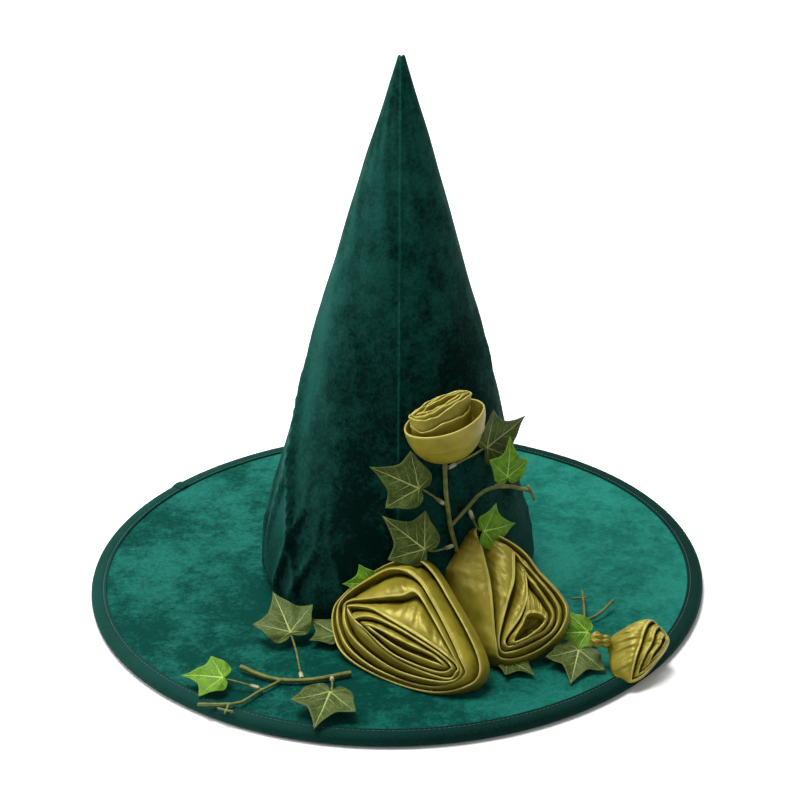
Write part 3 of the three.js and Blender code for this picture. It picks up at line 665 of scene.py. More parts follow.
def tape_section(a):
    """[radius, height] points of the folded tape, from its lower hem round the edge to its upper hem."""
    soft = 0.25 * math.sin(31 * a) + 0.2 * math.sin(53 * a + 1)
    half = TAPE_TOP / 2
    lower = [(0, 0.9), (0.35, 0.25), (1.4, 0.12), (2.2, 0.55), (3.2, 0.1), (5.5, 0.0), (8.2, 0.0)]
    points = [(TAPE_INNER + r * MM, h * MM) for r, h in lower]
    for i in range(1, 12):
        turn = -math.pi / 2 + math.pi * i / 12
        points.append((BRIM_RADIUS - 2.9 * MM + 2.9 * MM * math.cos(turn),
                       half + (half - 0.02 * MM) * math.sin(turn)))
    upper = [(8.2, 0.1), (6.6, 0.02), (4.9, 0.0), (3.6, 0.12), (2.75, 0.5), (2.2, 0.95), (1.7, 0.5),
             (1.0, 0.22),
             (0.35, 0.45), (0, 1.0)]
    points += [(TAPE_INNER + r * MM, TAPE_TOP + (0.35 + 0.25 * soft - h) * MM) for r, h in upper]
    return points


TAPE_TURNS = 420
sections = []
for i in range(TAPE_TURNS):
    a = 2 * math.pi * i / TAPE_TURNS
    sections.append([Vector((r * math.cos(a), r * math.sin(a), z)) for r, z in tape_section(a)])
rows = [list(row) for row in zip(*sections)]
binding = new_piece("brim_binding_tape", grid_bmesh(rows, True), tape.material)
give_thickness(binding, 0.5 * MM)
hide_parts("brim_edge_binding")
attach(binding, "hat")

lap_rows = []
for i in range(14):
    a = LAP_ANGLE + i / 13 * 9 * MM / BRIM_RADIUS
    rise = 0.55 * MM * math.sin(math.pi * min(i / 13 + 0.12, 1))
    lap_rows.append([Vector(((r + (rise if r > BRIM_RADIUS - 3 * MM else 0)) * math.cos(a),
                             (r + (rise if r > BRIM_RADIUS - 3 * MM else 0)) * math.sin(a), max(z + rise, z)))
                     for r, z in tape_section(a)[9:]])
lap = new_piece("binding_lapped_end", grid_bmesh([list(row) for row in zip(*lap_rows)]), tape.material)
give_thickness(lap, 0.45 * MM, 1)
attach(lap, "hat")

thread = Finish("sewing_thread", Roughness=0.5, Sheen_Weight=0.3)
twist = thread.noise(thread.stretched(thread.place(), (1, 1, 4)), 1500, 2)
thread.feed(Base_Color=thread.mix(twist, (0.004, 0.018, 0.015), (0.016, 0.055, 0.045)),
            Normal=thread.bump(twist, 0.1 * MM))

bpy.ops.object.select_all(action="DESELECT")
bpy.ops.mesh.primitive_cylinder_add(vertices=6, radius=0.22 * MM, depth=2.1 * MM,
                                    rotation=(math.pi / 2, 0, 0))
stitch = bpy.context.active_object
bpy.ops.object.transform_apply(location=True, rotation=True, scale=True)
bpy.ops.object.mode_set(mode="EDIT")
bpy.ops.mesh.select_all(action="SELECT")
bpy.ops.mesh.bevel(offset=0.09 * MM, segments=1)
bpy.ops.object.mode_set(mode="OBJECT")
stitch_bm = bmesh.new()
stitches = round(2 * math.pi * STITCH_RADIUS / STITCH_PITCH)
for i in range(stitches):
    a = 2 * math.pi * i / stitches
    count = len(stitch_bm.verts)
    stitch_bm.from_mesh(stitch.data)
    stitch_bm.verts.ensure_lookup_table()
    fresh = stitch_bm.verts[count:]
    bmesh.ops.rotate(stitch_bm, verts=fresh, cent=(0, 0, 0), matrix=Matrix.Rotation(a, 3, "Z"))
    bmesh.ops.translate(stitch_bm, verts=fresh,
                        vec=(STITCH_RADIUS * math.cos(a), STITCH_RADIUS * math.sin(a), TAPE_TOP - 0.42 * MM))
bpy.data.objects.remove(stitch)
seam = new_piece("binding_stitches", stitch_bm, thread.material)
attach(seam, "hat")

# ---- Ivy stems and stalks ----
# Moulded plastic stems with wire in them, brown-green and a little knotty, with short pegs.
# Each leaf's stalk ends in a pale sleeve that pushes onto a peg and turns on it.


def stem_finish(name, sleeve=None):
    """Olive brown plastic; a stalk is pale near the point where its sleeve starts."""
    stem = Finish(name, Roughness=0.55, Specular_IOR_Level=0.3, Specular_Tint=(0.95, 1, 0.5, 1))
    place = stem.place()
    knots = stem.noise(place, 260, 4, 0.65)
    bands = stem.noise(stem.stretched(place, (1, 1, 0.4)), 90, 2)
    color = stem.ramp(knots * 0.6 + bands * 0.4, (0.3, (0.032, 0.037, 0.009)), (0.5, (0.09, 0.1, 0.024)),
                      (0.75, (0.18, 0.185, 0.055)))
    if sleeve:
        offset = stem.node("VectorMath", {"operation": "DISTANCE"}, {0: place, 1: sleeve}, output="Value")
        color = stem.mix(offset.step(6 * MM, 10 * MM, 0.75, 0), color, (0.38, 0.37, 0.24))
    return stem.feed(Base_Color=color, Normal=stem.bump(knots, 0.5 * MM, 0.7))


def rounded_copy(node, name, voxel, material, passes):
    """A copy of a faceted CAD node with its facets and junctions melted into round ones."""
    use_only(frame["nodes"][node])
    piece = frame["nodes"][node].copy()
    piece.data = piece.data.copy()
    for key in list(piece.keys()):
        del piece[key]
    piece.parent = None
    piece.name = name
    bpy.context.scene.collection.objects.link(piece)
    use_only(piece)
    bpy.ops.object.mode_set(mode="EDIT")
    bpy.ops.mesh.select_all(action="SELECT")
    bpy.ops.mesh.remove_doubles(threshold=0.002 * MM)
    bpy.ops.object.mode_set(mode="OBJECT")
    melt = piece.modifiers.new("melt", "REMESH")
    melt.mode = "VOXEL"
    melt.voxel_size = voxel
    ease = piece.modifiers.new("ease", "SMOOTH")
    ease.factor = 0.5
    ease.iterations = passes
    apply_all(piece)
    piece.data.materials.clear()
    piece.data.materials.append(material)
    piece.data.shade_smooth()
    return piece


stem_plastic = stem_finish("stem_plastic")
for node in ("stem_crown", "stem_left", "stem_right"):
    stem = rounded_copy(node, f"ivy_{node}", 0.32 * MM, stem_plastic, 5)
    normals = [vertex.normal.copy() for vertex in stem.data.vertices]
    for vertex, normal in zip(stem.data.vertices, normals):
        x, y, z = vertex.co
        bark = (ripple(x / (1.9 * MM), (y + z) / (2.3 * MM), 1.0) * 0.1
                + ripple(y / (5 * MM), z / (6 * MM), 2.0) * 0.12)
        vertex.co += normal * bark * MM
    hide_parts(node)
    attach(stem, "hat")

joints = {joint["child"]: joint for joint in frame["joints"]}
STALKED = [body.removeprefix("ivy_") for body in frame["bodies"] if body.startswith("ivy_")]
for leaf in STALKED:
    body = f"ivy_{leaf}"
    pivot = tuple(joints[body]["pos_m"])
    stalk = rounded_copy(f"stalk_{leaf}", f"ivy_stalk_{leaf}", 0.2 * MM,
                         stem_finish(f"stalk_plastic_{leaf}", pivot), 3)
    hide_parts(f"stalk_{leaf}")
    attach(stalk, body)

# ---- Ivy leaves ----
# Leaves stamped from printed cloth with a plastic face, pressed into shape with a raised
# midrib, drooping lobes and a net of pale veins. Old leaves are dark, young ones bright.

HALF_OUTLINE = ((1, 0), (0.86, 0.055), (0.72, 0.125), (0.55, 0.235), (0.485, 0.33), (0.45, 0.46),
                (0.425, 0.585),
                (0.33, 0.545), (0.22, 0.485), (0.12, 0.455), (0.02, 0.415), (-0.07, 0.365), (-0.125, 0.3),
                (-0.15, 0.2), (-0.13, 0.1), (-0.06, 0.02))
LEAF_SHARE_BEHIND = 0.14
UV_SCALE = 0.7
UV_ORIGIN = (0.2, 0.5)
# Veins: from and to, in lengths of the leaf, and how strong each is
HALF_VEINS = (
    ((0, 0), (0.4, 0.54), 0.8),
    ((0, 0), (-0.1, 0.27), 0.6),
    ((0.18, 0.01), (0.42, 0.3), 0.5),
    ((0.38, 0.01), (0.58, 0.19), 0.45),
    ((0.58, 0.0), (0.76, 0.09), 0.4),
    ((0.17, 0.22), (0.38, 0.33), 0.4),
    ((0.2, 0.28), (0.17, 0.45), 0.4),
    ((0.05, 0.08), (0.07, 0.38), 0.4),
)
VEINS = (((0, 0), (0.95, 0), 1.0),) + HALF_VEINS + tuple(
    ((x0, -y0), (x1, -y1), strength) for (x0, y0), (x1, y1), strength in HALF_VEINS)


def leaf_finish(name, blade_low, blade_high, rim, vein, net_share):
    """Printed cloth leaf: mottled blade, pale veins, a fine net between them and a pale rim."""
    leaf = Finish(name, Specular_IOR_Level=0.25, Specular_Tint=(0.75, 1, 0.45, 1))
    u, v, _ = leaf.parts(leaf.uv())
    x = (u - UV_ORIGIN[0]) / UV_SCALE
    y = (v - UV_ORIGIN[1]) / UV_SCALE
    wobble = (leaf.noise(leaf.uv(), 16, 2) - 0.5) * 0.022
    x = x + wobble
    y = y + wobble
    veins = None
    for (x0, y0), (x1, y1), strength in VEINS:
        dx, dy = x1 - x0, y1 - y0
        along = (((x - x0) * dx + (y - y0) * dy) / (dx * dx + dy * dy)).most(0.0).least(1.0)
        away = ((x - x0 - along * dx) ** 2 + (y - y0 - along * dy) ** 2) ** 0.5
        width = (0.011 * strength) * (1.25 - along)
        line = (away / width).step(0.5, 1.9, strength, 0.0)
        veins = line if veins is None else veins.most(line)
    cells = leaf.node("TexVoronoi", {"feature": "DISTANCE_TO_EDGE"}, {"Vector": leaf.uv(), "Scale": 21.0})
    net = cells.step(0.0, 0.07, net_share, 0)
    blotch = leaf.noise(leaf.uv(), 7, 4, 0.6)
    edge = leaf.attribute("rim").step(0.9, 1.0)
    color = leaf.mix(blotch.step(0.3, 0.7), blade_low, blade_high)
    color = leaf.mix(edge * 0.6, color, rim)
    color = leaf.mix(net.most(veins), color, vein)
    weave = leaf.noise(leaf.uv(), 240, 2)
    height = leaf.bump(veins + net * 0.4 + weave * 0.15, 0.5 * MM, 0.75)
    return leaf.feed(Base_Color=color, Roughness=blotch.step(0.2, 0.8, 0.42, 0.62), Normal=height)


old_leaf = leaf_finish("old_leaf_cloth", (0.016, 0.028, 0.0035), (0.04, 0.06, 0.0095), (0.065, 0.085, 0.022),
                       (0.28, 0.32, 0.1), 0.17)
young_leaf = leaf_finish("young_leaf_cloth", (0.036, 0.11, 0.0015), (0.082, 0.19, 0.005), (0.1, 0.22, 0.018),
                         (0.32, 0.5, 0.08), 0.12)


def leaf_axes(node):
    """Where the veins meet, the leaf's length and its axes (to the tip, across, off its upper side)."""
    points = np.unique(np.array([v.co for v in frame["nodes"][node].data.vertices]).round(6), axis=0)
    middle = points.mean(axis=0)
    _, _, directions = np.linalg.svd(points - middle)
    normal = directions[2]
    if normal @ np.array((0, -0.6, 0.8)) < 0:
        normal = -normal
    flat = points - np.outer((points - middle) @ normal, normal)
    tip = flat[np.argmax(np.linalg.norm(flat - middle, axis=1))]
    along = (tip - middle) / np.linalg.norm(tip - middle)
    reach = (flat - middle) @ along
    length = (reach.max() - reach.min()) / (1 + LEAF_SHARE_BEHIND)
    origin = middle + along * (reach.max() - length)
    return Vector(origin), length, Vector(along), Vector(np.cross(normal, along)), Vector(normal)


def rounded_outline(steps):
    """The whole outline of a leaf of length 1, finely stepped, its pointed tips kept."""
    whole = list(HALF_OUTLINE) + [(x, -y) for x, y in reversed(HALF_OUTLINE[1:])]
    sharp = {(1, 0), (0.425, 0.585), (0.425, -0.585)}
    points = []
    for i, point in enumerate(whole):
        before, after = whole[i - 1], whole[(i + 1) % len(whole)]
        following = whole[(i + 2) % len(whole)]
        for k in range(steps):
            t = k / steps
            start = (0, 0) if point in sharp else ((after[0] - before[0]) / 2, (after[1] - before[1]) / 2)
            end = (0, 0) if after in sharp else ((following[0] - point[0]) / 2, (following[1] - point[1]) / 2)
            h = (2 * t**3 - 3 * t**2 + 1, t**3 - 2 * t**2 + t, -2 * t**3 + 3 * t**2, t**3 - t**2)
            points.append([h[0] * point[c] + h[1] * start[c] + h[2] * after[c] + h[3] * end[c]
                           for c in (0, 1)])
    return points


LEAF_RINGS = 16
LEAF_OUTLINE = rounded_outline(4)
# Shares of the bounding rectangle of the outline
LEAF_AREA = 0.53


def ivy_leaf(name, seed, droop):
    node = f"leaf_{name}"
    origin, length, along, across, normal = leaf_axes(node)
    young = name in ("crown_right", "crown_low", "behind_left_rose", "brim_edge", "behind_bud")
    slant = 0.05 * math.sin(seed * 2.3)
    points, rims = [], []
    for ring in range(LEAF_RINGS + 1):
        share = 0.004 + 0.996 * ring / LEAF_RINGS
        row = []
        for x, y in LEAF_OUTLINE:
            px, py = x * share, y * share
            r2 = px * px + py * py
            fold = 0.1 * abs(py) ** 1.2
            # Each half bulges between its veins, and the lobes droop at their ends
            puff = 0.03 * math.sin(3.1 * math.atan2(abs(py), px + 0.05) * 2) * share * min(abs(py) * 6, 1)
            wave = 0.018 * math.sin(9 * px + seed) * math.sin(8 * py + 2 * seed) * share
            rise = fold + puff + wave - droop * r2 + slant * py
            groove = -0.012 * math.exp(-((py / 0.02) ** 2)) * (1 - px)
            row.append(origin + along * (px * length) + across * (py * length)
                       + normal * (0.35 * MM + (rise + groove) * length))
        points.append(row)
        rims.append([share] * len(row))
    bm = grid_bmesh(points, True, {"rim": rims})
    uv = bm.loops.layers.uv["UVMap"]
    for face in bm.faces:
        for loop in face.loops:
            out = loop.vert.co - origin
            loop[uv].uv = (UV_ORIGIN[0] + UV_SCALE * out.dot(along) / length,
                           UV_ORIGIN[1] + UV_SCALE * out.dot(across) / length)
    inner = [e for e in bm.edges
             if e.is_boundary and all((v.co - origin).length < 0.03 * length for v in e.verts)]
    bmesh.ops.contextual_create(bm, geom=inner)
    for face in bm.faces:
        if len(face.verts) > 4:
            for loop in face.loops:
                loop[uv].uv = UV_ORIGIN
    bmesh.ops.recalc_face_normals(bm, faces=bm.faces)
    if sum((f.normal.dot(normal) * f.calc_area() for f in bm.faces)) < 0:
        bmesh.ops.reverse_faces(bm, faces=bm.faces)
    piece = new_piece(f"ivy_leaf_{name}", bm, young_leaf if young else old_leaf)
    give_thickness(piece, 0.3 * MM)
    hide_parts(node)
    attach(piece, f"ivy_{name}" if name in STALKED else "hat")
    width = 1.18 * length
    tall = (1 + LEAF_SHARE_BEHIND) * length
    LEAF_AREA * width * tall


LEAVES = [name.removeprefix("leaf_") for name in frame["nodes"] if name.startswith("leaf_")]
PRESSED_FLAT = ("under_right_rose", "under_left_rose", "before_bud", "beside_left_rose", "behind_left_rose",
                "crown_top")
SWING_NEAR_CLOTH = ("brim_front", "crown_left")
for seed, name in enumerate(sorted(LEAVES)):
    droop = 0.03 if name in PRESSED_FLAT else -0.02 if name in SWING_NEAR_CLOTH else 0.12
    ivy_leaf(name, seed + 1.0, droop)

# ---- Satin roses ----
# Each big rose is one doubled satin ribbon rolled and pinned flat: nested loops that
# are pressed together at one side, each rising from the dark gap behind the last one's rim.

satin = Finish("gold_satin_ribbon", Metallic=0.12, Specular_IOR_Level=0.55, Specular_Tint=(1, 0.9, 0.42, 1))
satin_place = satin.place()
cloud = satin.noise(satin_place, 55, 3, 0.55)
creases = (satin.noise(satin_place, 42, 4, 0.5, 0.9) - 0.5).size().least(0.2)
slub = satin.noise(satin.stretched(satin.uv(), (900, 60, 1)), 1, 2, 0.5)
# Painted highlight: the satin is coloured paler along its folded rims, where the rim attribute is high
painted_rim_highlight = satin.attribute("rim").step(0.55, 1.0)
gold = satin.mix(cloud.step(0.3, 0.7), (0.13, 0.104, 0.006), (0.23, 0.19, 0.016))
gold = satin.mix(slub * 0.2, gold, (0.25, 0.215, 0.03))
satin.feed(Base_Color=satin.mix(painted_rim_highlight * 0.5, gold, (0.4, 0.35, 0.1)),
           Roughness=cloud.step(0.2, 0.8, 0.34, 0.46),
           Normal=satin.bump(slub, 0.08 * MM, 0.3, satin.bump(creases, 4 * MM, 0.3)))


def flower_axes(azimuth, radius, height, face):
    """Middle, right, up and outward directions of the plane in which a flower lies."""
    a = math.radians(azimuth)
    az, el = (math.radians(v) for v in face)
    out = Vector((math.cos(az) * math.cos(el), math.sin(az) * math.cos(el), math.sin(el)))
    up = Vector((-math.cos(az) * math.sin(el), -math.sin(az) * math.sin(el), math.cos(el)))
    middle = Vector((radius * math.cos(a), radius * math.sin(a), height)) * MM
    return middle, up.cross(out), up, out


def closed_curve(corners, steps):
    """A smooth closed curve through corners, with the same number of steps between each two."""
    points = []
    count = len(corners)
    for i in range(count):
        p0, p1, p2, p3 = (Vector(corners[(i + k - 1) % count]) for k in range(4))
        for k in range(steps):
            t = k / steps
            points.append(0.5 * (2 * p1 + (p2 - p0) * t + (2 * p0 - 5 * p1 + 4 * p2 - p3) * t**2
                                 + (3 * p1 - p0 - 3 * p2 + p3) * t**3))
    return points


LOOP_STEPS = 14
RIBBON_THICKNESS = 0.35 * MM
RIM_ROUND = 0.45


def dent_depth(point, dents):
    """How far pinched folds press the ribbon in at a point; a fold runs between two places."""
    depth = 0.0
    for (x0, y0), (x1, y1), deep, wide in dents:
        dx, dy = x1 - x0, y1 - y0
        share = min(max(((point.x - x0) * dx + (point.y - y0) * dy) / (dx * dx + dy * dy), 0), 1)
        away = math.hypot(point.x - x0 - share * dx, point.y - y0 - share * dy)
        depth += deep * math.exp(-((away / wide) ** 2)) * (0.35 + 0.65 * share)
    return depth


def outwards(curve, i):
    """The direction out of a closed curve at its point i, in the curve's plane."""
    along = curve[(i + 1) % len(curve)] - curve[i - 1]
    return Vector((-along.y, along.x, 0)).normalized()


def ribbon_loop(root, rim, depth, belly, seed, dents=(), innermost=False):
    """One turn of ribbon: up from its root to its folded rim, and down again behind it.

    root and rim are closed curves in mm with equal numbers of points [right, up, out].
    It comes out of the gap steeply and lies flatter towards the rim. The innermost turn
    closes at the bottom.
    """
    middle = sum(rim, Vector()) / len(rim)
    rows, rims = [], []
    for i in range(len(rim)):
        side = outwards(rim, i)
        start = root[i]
        end = rim[i] + Vector((0, 0, 0.6 * ripple(i * 0.3, seed, seed)))
        wide = math.hypot(end.x - start.x, end.y - start.y)
        # marks become the rim attribute, which paints a highlight on the satin along the fold
        column, marks = [], []
        for k in range(16):
            t = k / 15
            arch = math.sin(math.pi * t)
            rise = 1 - (1 - t) ** 1.6
            point = start.lerp(end, t)
            point.z = start.z + (end.z - start.z) * rise
            crease = 0.5 * ripple(i * 0.8 + t, 2.5 * t, seed) * arch * min(wide / 9, 1.3)
            point.z += belly * arch * wide * 0.5 + crease
            point.z -= dent_depth(point, dents) * math.sin(math.pi * min(t + 0.2, 1)) ** 0.5
            column.append(point + side * (belly * 1.2 * arch))
            marks.append(max(0, (t - 0.88) / 0.12))
        for k in range(1, 7):
            turn = math.pi * k / 6
            column.append(end + Vector((0, 0, RIM_ROUND * math.sin(turn))) - side * RIM_ROUND
                          * (1 - math.cos(turn)))
            marks.append(1.0 if k < 5 else 0.5)
        edge = column[-1]
        for k in range(1, 7):
            t = k / 6
            column.append(edge + Vector((0, 0, -depth * t)) - side * (0.4 * math.sin(math.pi * t)))
            marks.append(0.5 * (1 - t))
        if innermost:
            bottom = Vector((middle.x, middle.y, column[-1].z - 1))
            column += [column[-1].lerp(bottom, share) for share in (0.35, 0.7, 0.97)]
            marks += [0.0] * 3
        rows.append(column)
        rims.append(marks)
    return [list(row) for row in zip(*rows)], [list(row) for row in zip(*rims)]


def against_hat(point, lowest):
    """The point itself, or where the ribbon is stopped by the brim below it or the crown behind it."""
    z = max(point.z, lowest)
    axis = CROWN_LEAN * crown_share(z)
    azimuth = math.atan2(point.y, point.x - axis)
    away = math.hypot(point.x - axis, point.y)
    wall = crown_radius(z) + 0.5 * MM
    if away < wall + 9 * MM:
        wall += velvet_lift(azimuth, z, math.pi / 2)
    away = max(away, wall)
    return Vector((axis + away * math.cos(azimuth), away * math.sin(azimuth), z))


def rolled_flower(name, node, axes, loops, depth, gap, belly=0.14, dents=(), heart=False):
    """Joins nested ribbon loops into one piece; loops[0] is the outline that they start from.

    Each loop goes down by depth behind its rim, and starts at gap below the last one's rim. A
    heart's loops[0] is the rim of the petals round it. Nothing goes lower than the CAD node.
    """
    middle, right, up, out = axes
    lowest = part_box(node)[0][2]
    joined = bmesh.new()
    for k in range(1, len(loops)):
        root = closed_curve(loops[k - 1], LOOP_STEPS)
        rim = closed_curve(loops[k], LOOP_STEPS)
        if k > 1 or heart:
            root = [p - outwards(root, i) * 1.5 - Vector((0, 0, gap)) for i, p in enumerate(root)]
        rows, rims = ribbon_loop(root, rim, depth, belly, k + len(name), dents if k <= 2 else (),
                                 k == len(loops) - 1)
        placed = [[against_hat(middle + (right * p.x + up * p.y + out * p.z) * MM, lowest) for p in row]
                  for row in rows]
        bm = grid_bmesh(placed, True, {"rim": rims})
        scrap = bpy.data.meshes.new("loop")
        bm.to_mesh(scrap)
        bm.free()
        joined.from_mesh(scrap)
        bpy.data.meshes.remove(scrap)
    for face in joined.faces:
        face.smooth = True
    total = sum((f.normal.dot(out) * f.calc_area() for f in joined.faces))
    if total < 0:
        bmesh.ops.reverse_faces(joined, faces=joined.faces)
    piece = new_piece(name, joined, satin.material)
    give_thickness(piece, RIBBON_THICKNESS, 0)
    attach(piece, "hat")
    return piece


# Loops of the left rose, each [right, up, out] from its left end over the top and back below
ROSE_LEFT = flower_axes(-85.9, 127.3, 34.0, (-119, 46))
LEFT_OUTLINE = ((-60, -7, -9), (-54, 13, -8), (-31, 36, -7), (-6, 45, -6), (27, 21, -5), (58, -10, -6),
                (57, -28, -8),
                (32, -42, -9), (-9, -41, -10), (-43, -31, -10))
LEFT_LOOPS = (
    ((-59, -7, -3), (-53, 12, -2), (-31, 35, 0), (-7, 42, 1), (26, 18, 4), (55, -11, 5), (57, -28, 4),
     (32, -41.5, 4),
     (-9, -40.5, 3), (-43, -30, -1)),
    ((-54, -5, 2), (-47, 10, 6), (-24, 30, 9), (-4, 29, 8), (17, 13, 11), (43, -13, 10), (51, -26, 7),
     (31, -38.5, 6),
     (-8, -37.5, 5), (-39, -26, 3)),
    ((-47, -1, 8), (-31, 6, 13), (-8, 13, 15), (3, 18, 15), (23, 2, 15), (42, -16, 13), (49, -25, 10),
     (40, -34, 10),
     (3, -34.5, 9), (-34, -21, 9)),
    ((-42, -3, 13), (-25, 0, 16), (-8, -4, 18), (15, -10, 18), (35, -16, 16), (46, -21, 13), (47, -26, 12),
     (39, -32, 11), (3, -28.5, 13), (-29, -14, 13)),
    ((-34, -10, 15), (-21, -6, 18), (-2, -8.5, 20), (18, -13.5, 20), (34, -18, 17), (43, -22.5, 15),
     (43, -26, 14),
     (33, -29.5, 13), (2, -26.5, 15), (-23, -15.5, 16)),
    ((-22, -12.5, 19), (-12, -12.5, 20), (2, -15.5, 21), (18, -18, 20), (29, -19.5, 18), (38, -23, 16),
     (38, -25, 15),
     (28, -24.5, 16), (8, -22.5, 18), (-12, -17, 19)),
)
LEFT_FOLDS = (((-12, 40), (-6, 30), 5.0, 1.8), ((-26, 33), (-10, 32), 3.5, 1.6), ((3, 40), (1, 26), 4.5, 1.8),
              ((-56, -1), (-48, 2), 2.5, 2.2), ((6, 34), (24, 12), 1.4, 2.4))
left_petals = rolled_flower("rose_left_petals", "rose_left_ribbon", ROSE_LEFT, (LEFT_OUTLINE,)
                            + LEFT_LOOPS[:3],
                            12, 10, dents=LEFT_FOLDS)
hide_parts("rose_left_ribbon")
left_heart = rolled_flower("rose_left_rolled_heart", "rose_left_ribbon", ROSE_LEFT, LEFT_LOOPS[2:], 10, 9,
                           heart=True)
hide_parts("rose_left_heart")

# Loops of the right rose, pressed together at its lower end
ROSE_RIGHT = flower_axes(-54.2, 123.2, 43.0, (-80, 51))
RIGHT_OUTLINE = ((-37, 18, -9), (-28, 37, -8), (-13, 46, -5), (14, 28, -5), (27, 10, -6), (42, -16, -7),
                 (35, -36, -8),
                 (15, -49, -8), (-12, -54, -7), (-30, -32, -9))
RIGHT_LOOPS = (
    ((-12, 0, 12), (-13, 23, 12), (-12, 43, 6), (12, 26, 9), (23, 7, 9), (37, -18, 8), (31, -36, 8),
     (11, -49, 7),
     (-12, -51, 6), (-15, -38, 10)),
    ((-3, -14, 15), (4, 1, 15), (9, 21, 10), (14, 12, 12), (22, -2, 13), (31, -22, 12), (25, -37, 11),
     (8, -45, 10),
     (-10, -48, 9), (-13, -38, 12)),
    ((3, -26, 16), (10, -13, 16), (13, 4, 13), (16, -1, 14), (20, -10, 15), (26, -26, 14), (20, -36, 13),
     (8, -41, 12), (-7, -45, 11), (-9, -39, 13)),
    ((3, -32, 17), (6, -27, 18), (9, -25, 18), (13, -25, 18), (18, -27, 18), (20, -31, 17), (15, -36, 16),
     (6, -41, 15), (-3, -43, 14), (-3, -39, 15)),
)
RIGHT_FOLDS = (((19, 22), (22, 8), 3.0, 3.0), ((-30, 30), (-22, -20), 1.6, 4.0),
               ((40, -10), (34, -16), 1.6, 3.0))
right_petals = rolled_flower("rose_right_petals", "rose_right_ribbon", ROSE_RIGHT,
                             (RIGHT_OUTLINE,) + RIGHT_LOOPS[:2], 12, 10, dents=RIGHT_FOLDS)
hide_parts("rose_right_ribbon")
right_heart = rolled_flower("rose_right_rolled_heart", "rose_right_ribbon", ROSE_RIGHT, RIGHT_LOOPS[1:],
                            10, 9,
                            heart=True)
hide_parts("rose_right_heart")

# ---- Bud ----
# A small bud of the same ribbon at the right, its cut end gathered into a wired knot.

BUD = flower_axes(-41.1, 209.7, 22.0, (-76, 52))
BUD_FOLDS = (((-20, 2), (-4, 6), 2.2, 1.6), ((-20, -8), (-8, -8), 1.8, 2.0), ((-6, 14), (0, 8), 2.2, 1.6))
BUD_LOOPS = (
    ((-20, -4, -6), (-18, 6, -5), (-8, 12, -5), (7, 16, -6), (17, 7, -6), (22, -2, -6), (10, -14, -6),
     (-3, -23, -6),
     (-15, -27, -6), (-21, -17, -6)),
    ((-2, -3, 9), (2, 4, 9), (7, 10, 7), (13, 13, 3), (17, 7, 2), (20, -2, 2), (9, -13, 3), (-3, -23, 2),
     (-13, -25, 3),
     (-9, -14, 8)),
    ((5, -4, 9), (8, 1, 9), (12, 6, 7), (16, 8, 3), (18, 4, 2), (19, -3, 3), (10, -12, 4), (-1, -20, 3),
     (-8, -22, 3),
     (-3, -13, 8)),
    ((11, -5, 8), (13, -2, 8), (16, 1, 6), (18, 1, 4), (18, -1, 4), (17, -4, 4), (11, -10, 5), (4, -15, 4),
     (0, -17, 4), (4, -11, 8)),
)
bud_petals = rolled_flower("bud_petals", "bud_ribbon", BUD, BUD_LOOPS, 6, 6.5, belly=0.2, dents=BUD_FOLDS)
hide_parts("bud_ribbon")

knot_low, knot_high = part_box("bud_knot")
knot_middle = (Vector(knot_low) + Vector(knot_high)) / 2
bpy.ops.object.select_all(action="DESELECT")
bpy.ops.mesh.primitive_uv_sphere_add(segments=64, ring_count=40, radius=1.0)
knot = bpy.context.active_object
knot.name = "bud_gathered_knot"
middle, right, up, out = BUD
for vertex in knot.data.vertices:
    x, y, z = vertex.co
    turn = math.atan2(z, y)
    # Gathers run along the knot, which is tied in at its middle
    gather = 1 + 0.13 * math.sin(7 * turn + 2.5 * x) + 0.07 * math.sin(13 * turn - 4 * x)
    waist = 1 - 0.34 * math.exp(-(((x - 0.15) / 0.28) ** 2))
    flare = 1 + 0.25 * smooth(-x, 0.3, 1)
    local = Vector((x * 7.2, y * 5.0 * gather * waist * flare, z * 4.6 * gather * waist * flare)) * MM
    tilt = 0.35
    vertex.co = knot_middle + right * (local.x * math.cos(tilt) + local.y * math.sin(tilt)) \
        + up * (local.y * math.cos(tilt) - local.x * math.sin(tilt)) + out * local.z
knot.data.materials.append(satin.material)
knot.data.shade_smooth()
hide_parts("bud_knot")
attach(knot, "hat")

# ---- Top rose ----
# A half-open rose on the crown: a cup of doubled ribbon, and in it a crumpled fold and a
# flat roll whose turns stand up like the pages of a book.

TOP_AZIMUTH = math.radians(-70)
CUP_RADIUS = 28.0
CUP_DEEP = 0.66
CUP_HEIGHT = 31.0
TOP_STANDOFF = (CUP_RADIUS * CUP_DEEP + 3) * MM
top_middle = crown_point(TOP_AZIMUTH, 161 * MM, TOP_STANDOFF)
top_out = Vector((math.cos(TOP_AZIMUTH), math.sin(TOP_AZIMUTH), 0))
top_right = Vector((-top_out.y, top_out.x, 0))
TOP_LEAN = math.radians(12)
cup_right = (top_right * math.cos(TOP_LEAN) + Vector((0, 0, math.sin(TOP_LEAN)))).normalized()
cup_up = cup_right.cross(top_out).normalized()
if cup_up.z < 0:
    cup_up = -cup_up


def cup_place(x, y, z):
    """A point from [right, forward, up] in mm from the middle of the cup's mouth."""
    return top_middle + (cup_right * x + top_out * y + cup_up * z) * MM


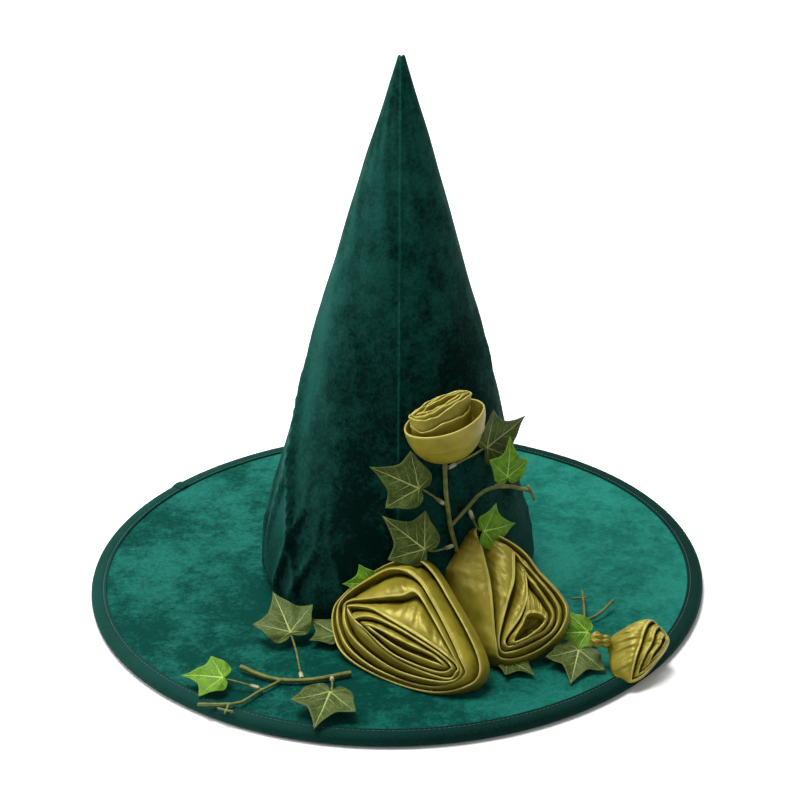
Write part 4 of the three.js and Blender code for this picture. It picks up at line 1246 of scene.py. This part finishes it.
# cup_rims become the rim attribute, which paints a highlight on the satin along the rolled edge
cup_rows, cup_rims = [], []
CUP_TURNS = 132
for k in range(31):
    t = k / 30
    swell = math.sin(t * math.pi / 2) ** 0.8
    level = -CUP_HEIGHT * math.cos(t * math.pi / 2) ** 1.15
    row = []
    for i in range(CUP_TURNS):
        a = 2 * math.pi * i / CUP_TURNS
        dip = -2.4 * max(math.sin(a), 0) ** 2 * t**3 + 1.6 * max(-math.sin(a), 0) * t**3
        drape = (0.9 * ripple(a * 2.1, t * 4, 3.0) * math.sin(math.pi * t)
                 + 0.5 * math.sin(9 * a + 5 * t) * (1 - t) * swell)
        r = 1 + drape / CUP_RADIUS
        row.append(cup_place(CUP_RADIUS * swell * r * math.cos(a), CUP_RADIUS * CUP_DEEP * swell * r
                             * math.sin(a), level + dip))
    cup_rows.append(row)
    cup_rims.append([max(0, (t - 0.94) / 0.06)] * CUP_TURNS)
rim_row = cup_rows[-1]
for k in range(1, 12):
    turn = min(k, 5) / 5 * math.pi
    down = max(k - 5, 0) * 2.4
    inset = 0.55 * (1 - math.cos(turn)) + 0.12 * down
    row = []
    for i in range(CUP_TURNS):
        a = 2 * math.pi * i / CUP_TURNS
        toward = cup_right * (-math.cos(a)) + top_out * (-math.sin(a))
        row.append(rim_row[i] + toward * inset * MM + cup_up * (0.55 * math.sin(turn) - down) * MM)
    cup_rows.append(row)
    cup_rims.append([1.0 if k < 5 else max(0, 0.5 - 0.1 * (k - 5))] * CUP_TURNS)
cup_bm = grid_bmesh(cup_rows, True, {"rim": cup_rims})
foot_loop = [e for e in cup_bm.edges
             if e.is_boundary and all((v.co - cup_place(0, 0, -CUP_HEIGHT)).length < 1 * MM
                                                              for v in e.verts)]
bmesh.ops.contextual_create(cup_bm, geom=foot_loop)
bmesh.ops.recalc_face_normals(cup_bm, faces=cup_bm.faces)
cup = new_piece("rose_top_cup_petal", cup_bm, satin.material)
give_thickness(cup, RIBBON_THICKNESS, 0)
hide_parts("rose_top_cup")
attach(cup, "hat")

# The roll: flat loops [right, forward, up]; the first two are the crumpled fold in front of it
ROLL_LOOPS = (
    ((-22, 1, -12), (-17, 9, -12), (-6, 11, -12), (6, 10, -10), (15, 6, -8), (19, 0, -6), (14, -7, -6),
     (3, -10, -8),
     (-10, -9, -10), (-19, -6, -11)),
    ((-24, 1, 0), (-19, 9, -3), (-8, 11, 0), (6, 9.5, 3.5), (14, 5.5, 4), (18, 0, 7), (14, -6, 9), (3, -9, 8),
     (-10, -8, 5), (-20, -5, 2)),
    ((-25, 0, 5), (-20, 7, 4.5), (-12, 8, 5.4), (0, 7, 9.2), (10, 5, 13), (19, 1, 15), (14, -5, 15),
     (0, -8, 12.5),
     (-11, -6, 10), (-20, -3, 7.5)),
    ((-23, 0, 6), (-18, 4, 6.5), (-11, 5, 7.5), (0, 4.5, 11), (10, 3, 14.5), (17, 0, 16), (12, -3.5, 16),
     (0, -5.5, 13.5),
     (-10, -4, 10.5), (-18, -2, 8)),
    ((-20, 0.5, 6.5), (-15, 2, 7), (-9, 2.4, 8.5), (0, 2.2, 11.5), (9, 1.2, 14.5), (14, -0.5, 16),
     (10, -2, 16),
     (0, -2.8, 13.5), (-9, -1.8, 10.5), (-15, -0.6, 8)),
)
roll = rolled_flower("rose_top_roll_petals", "rose_top_cup",
                     (top_middle, top_right, top_out, Vector((0, 0, 1))), ROLL_LOOPS,
                     7, 5, belly=0.08, dents=(((-10, 9), (-2, 8), 2.0, 2.5), ((9, 7), (13, 3), 2.0, 2.0)))
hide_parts("rose_top_roll")
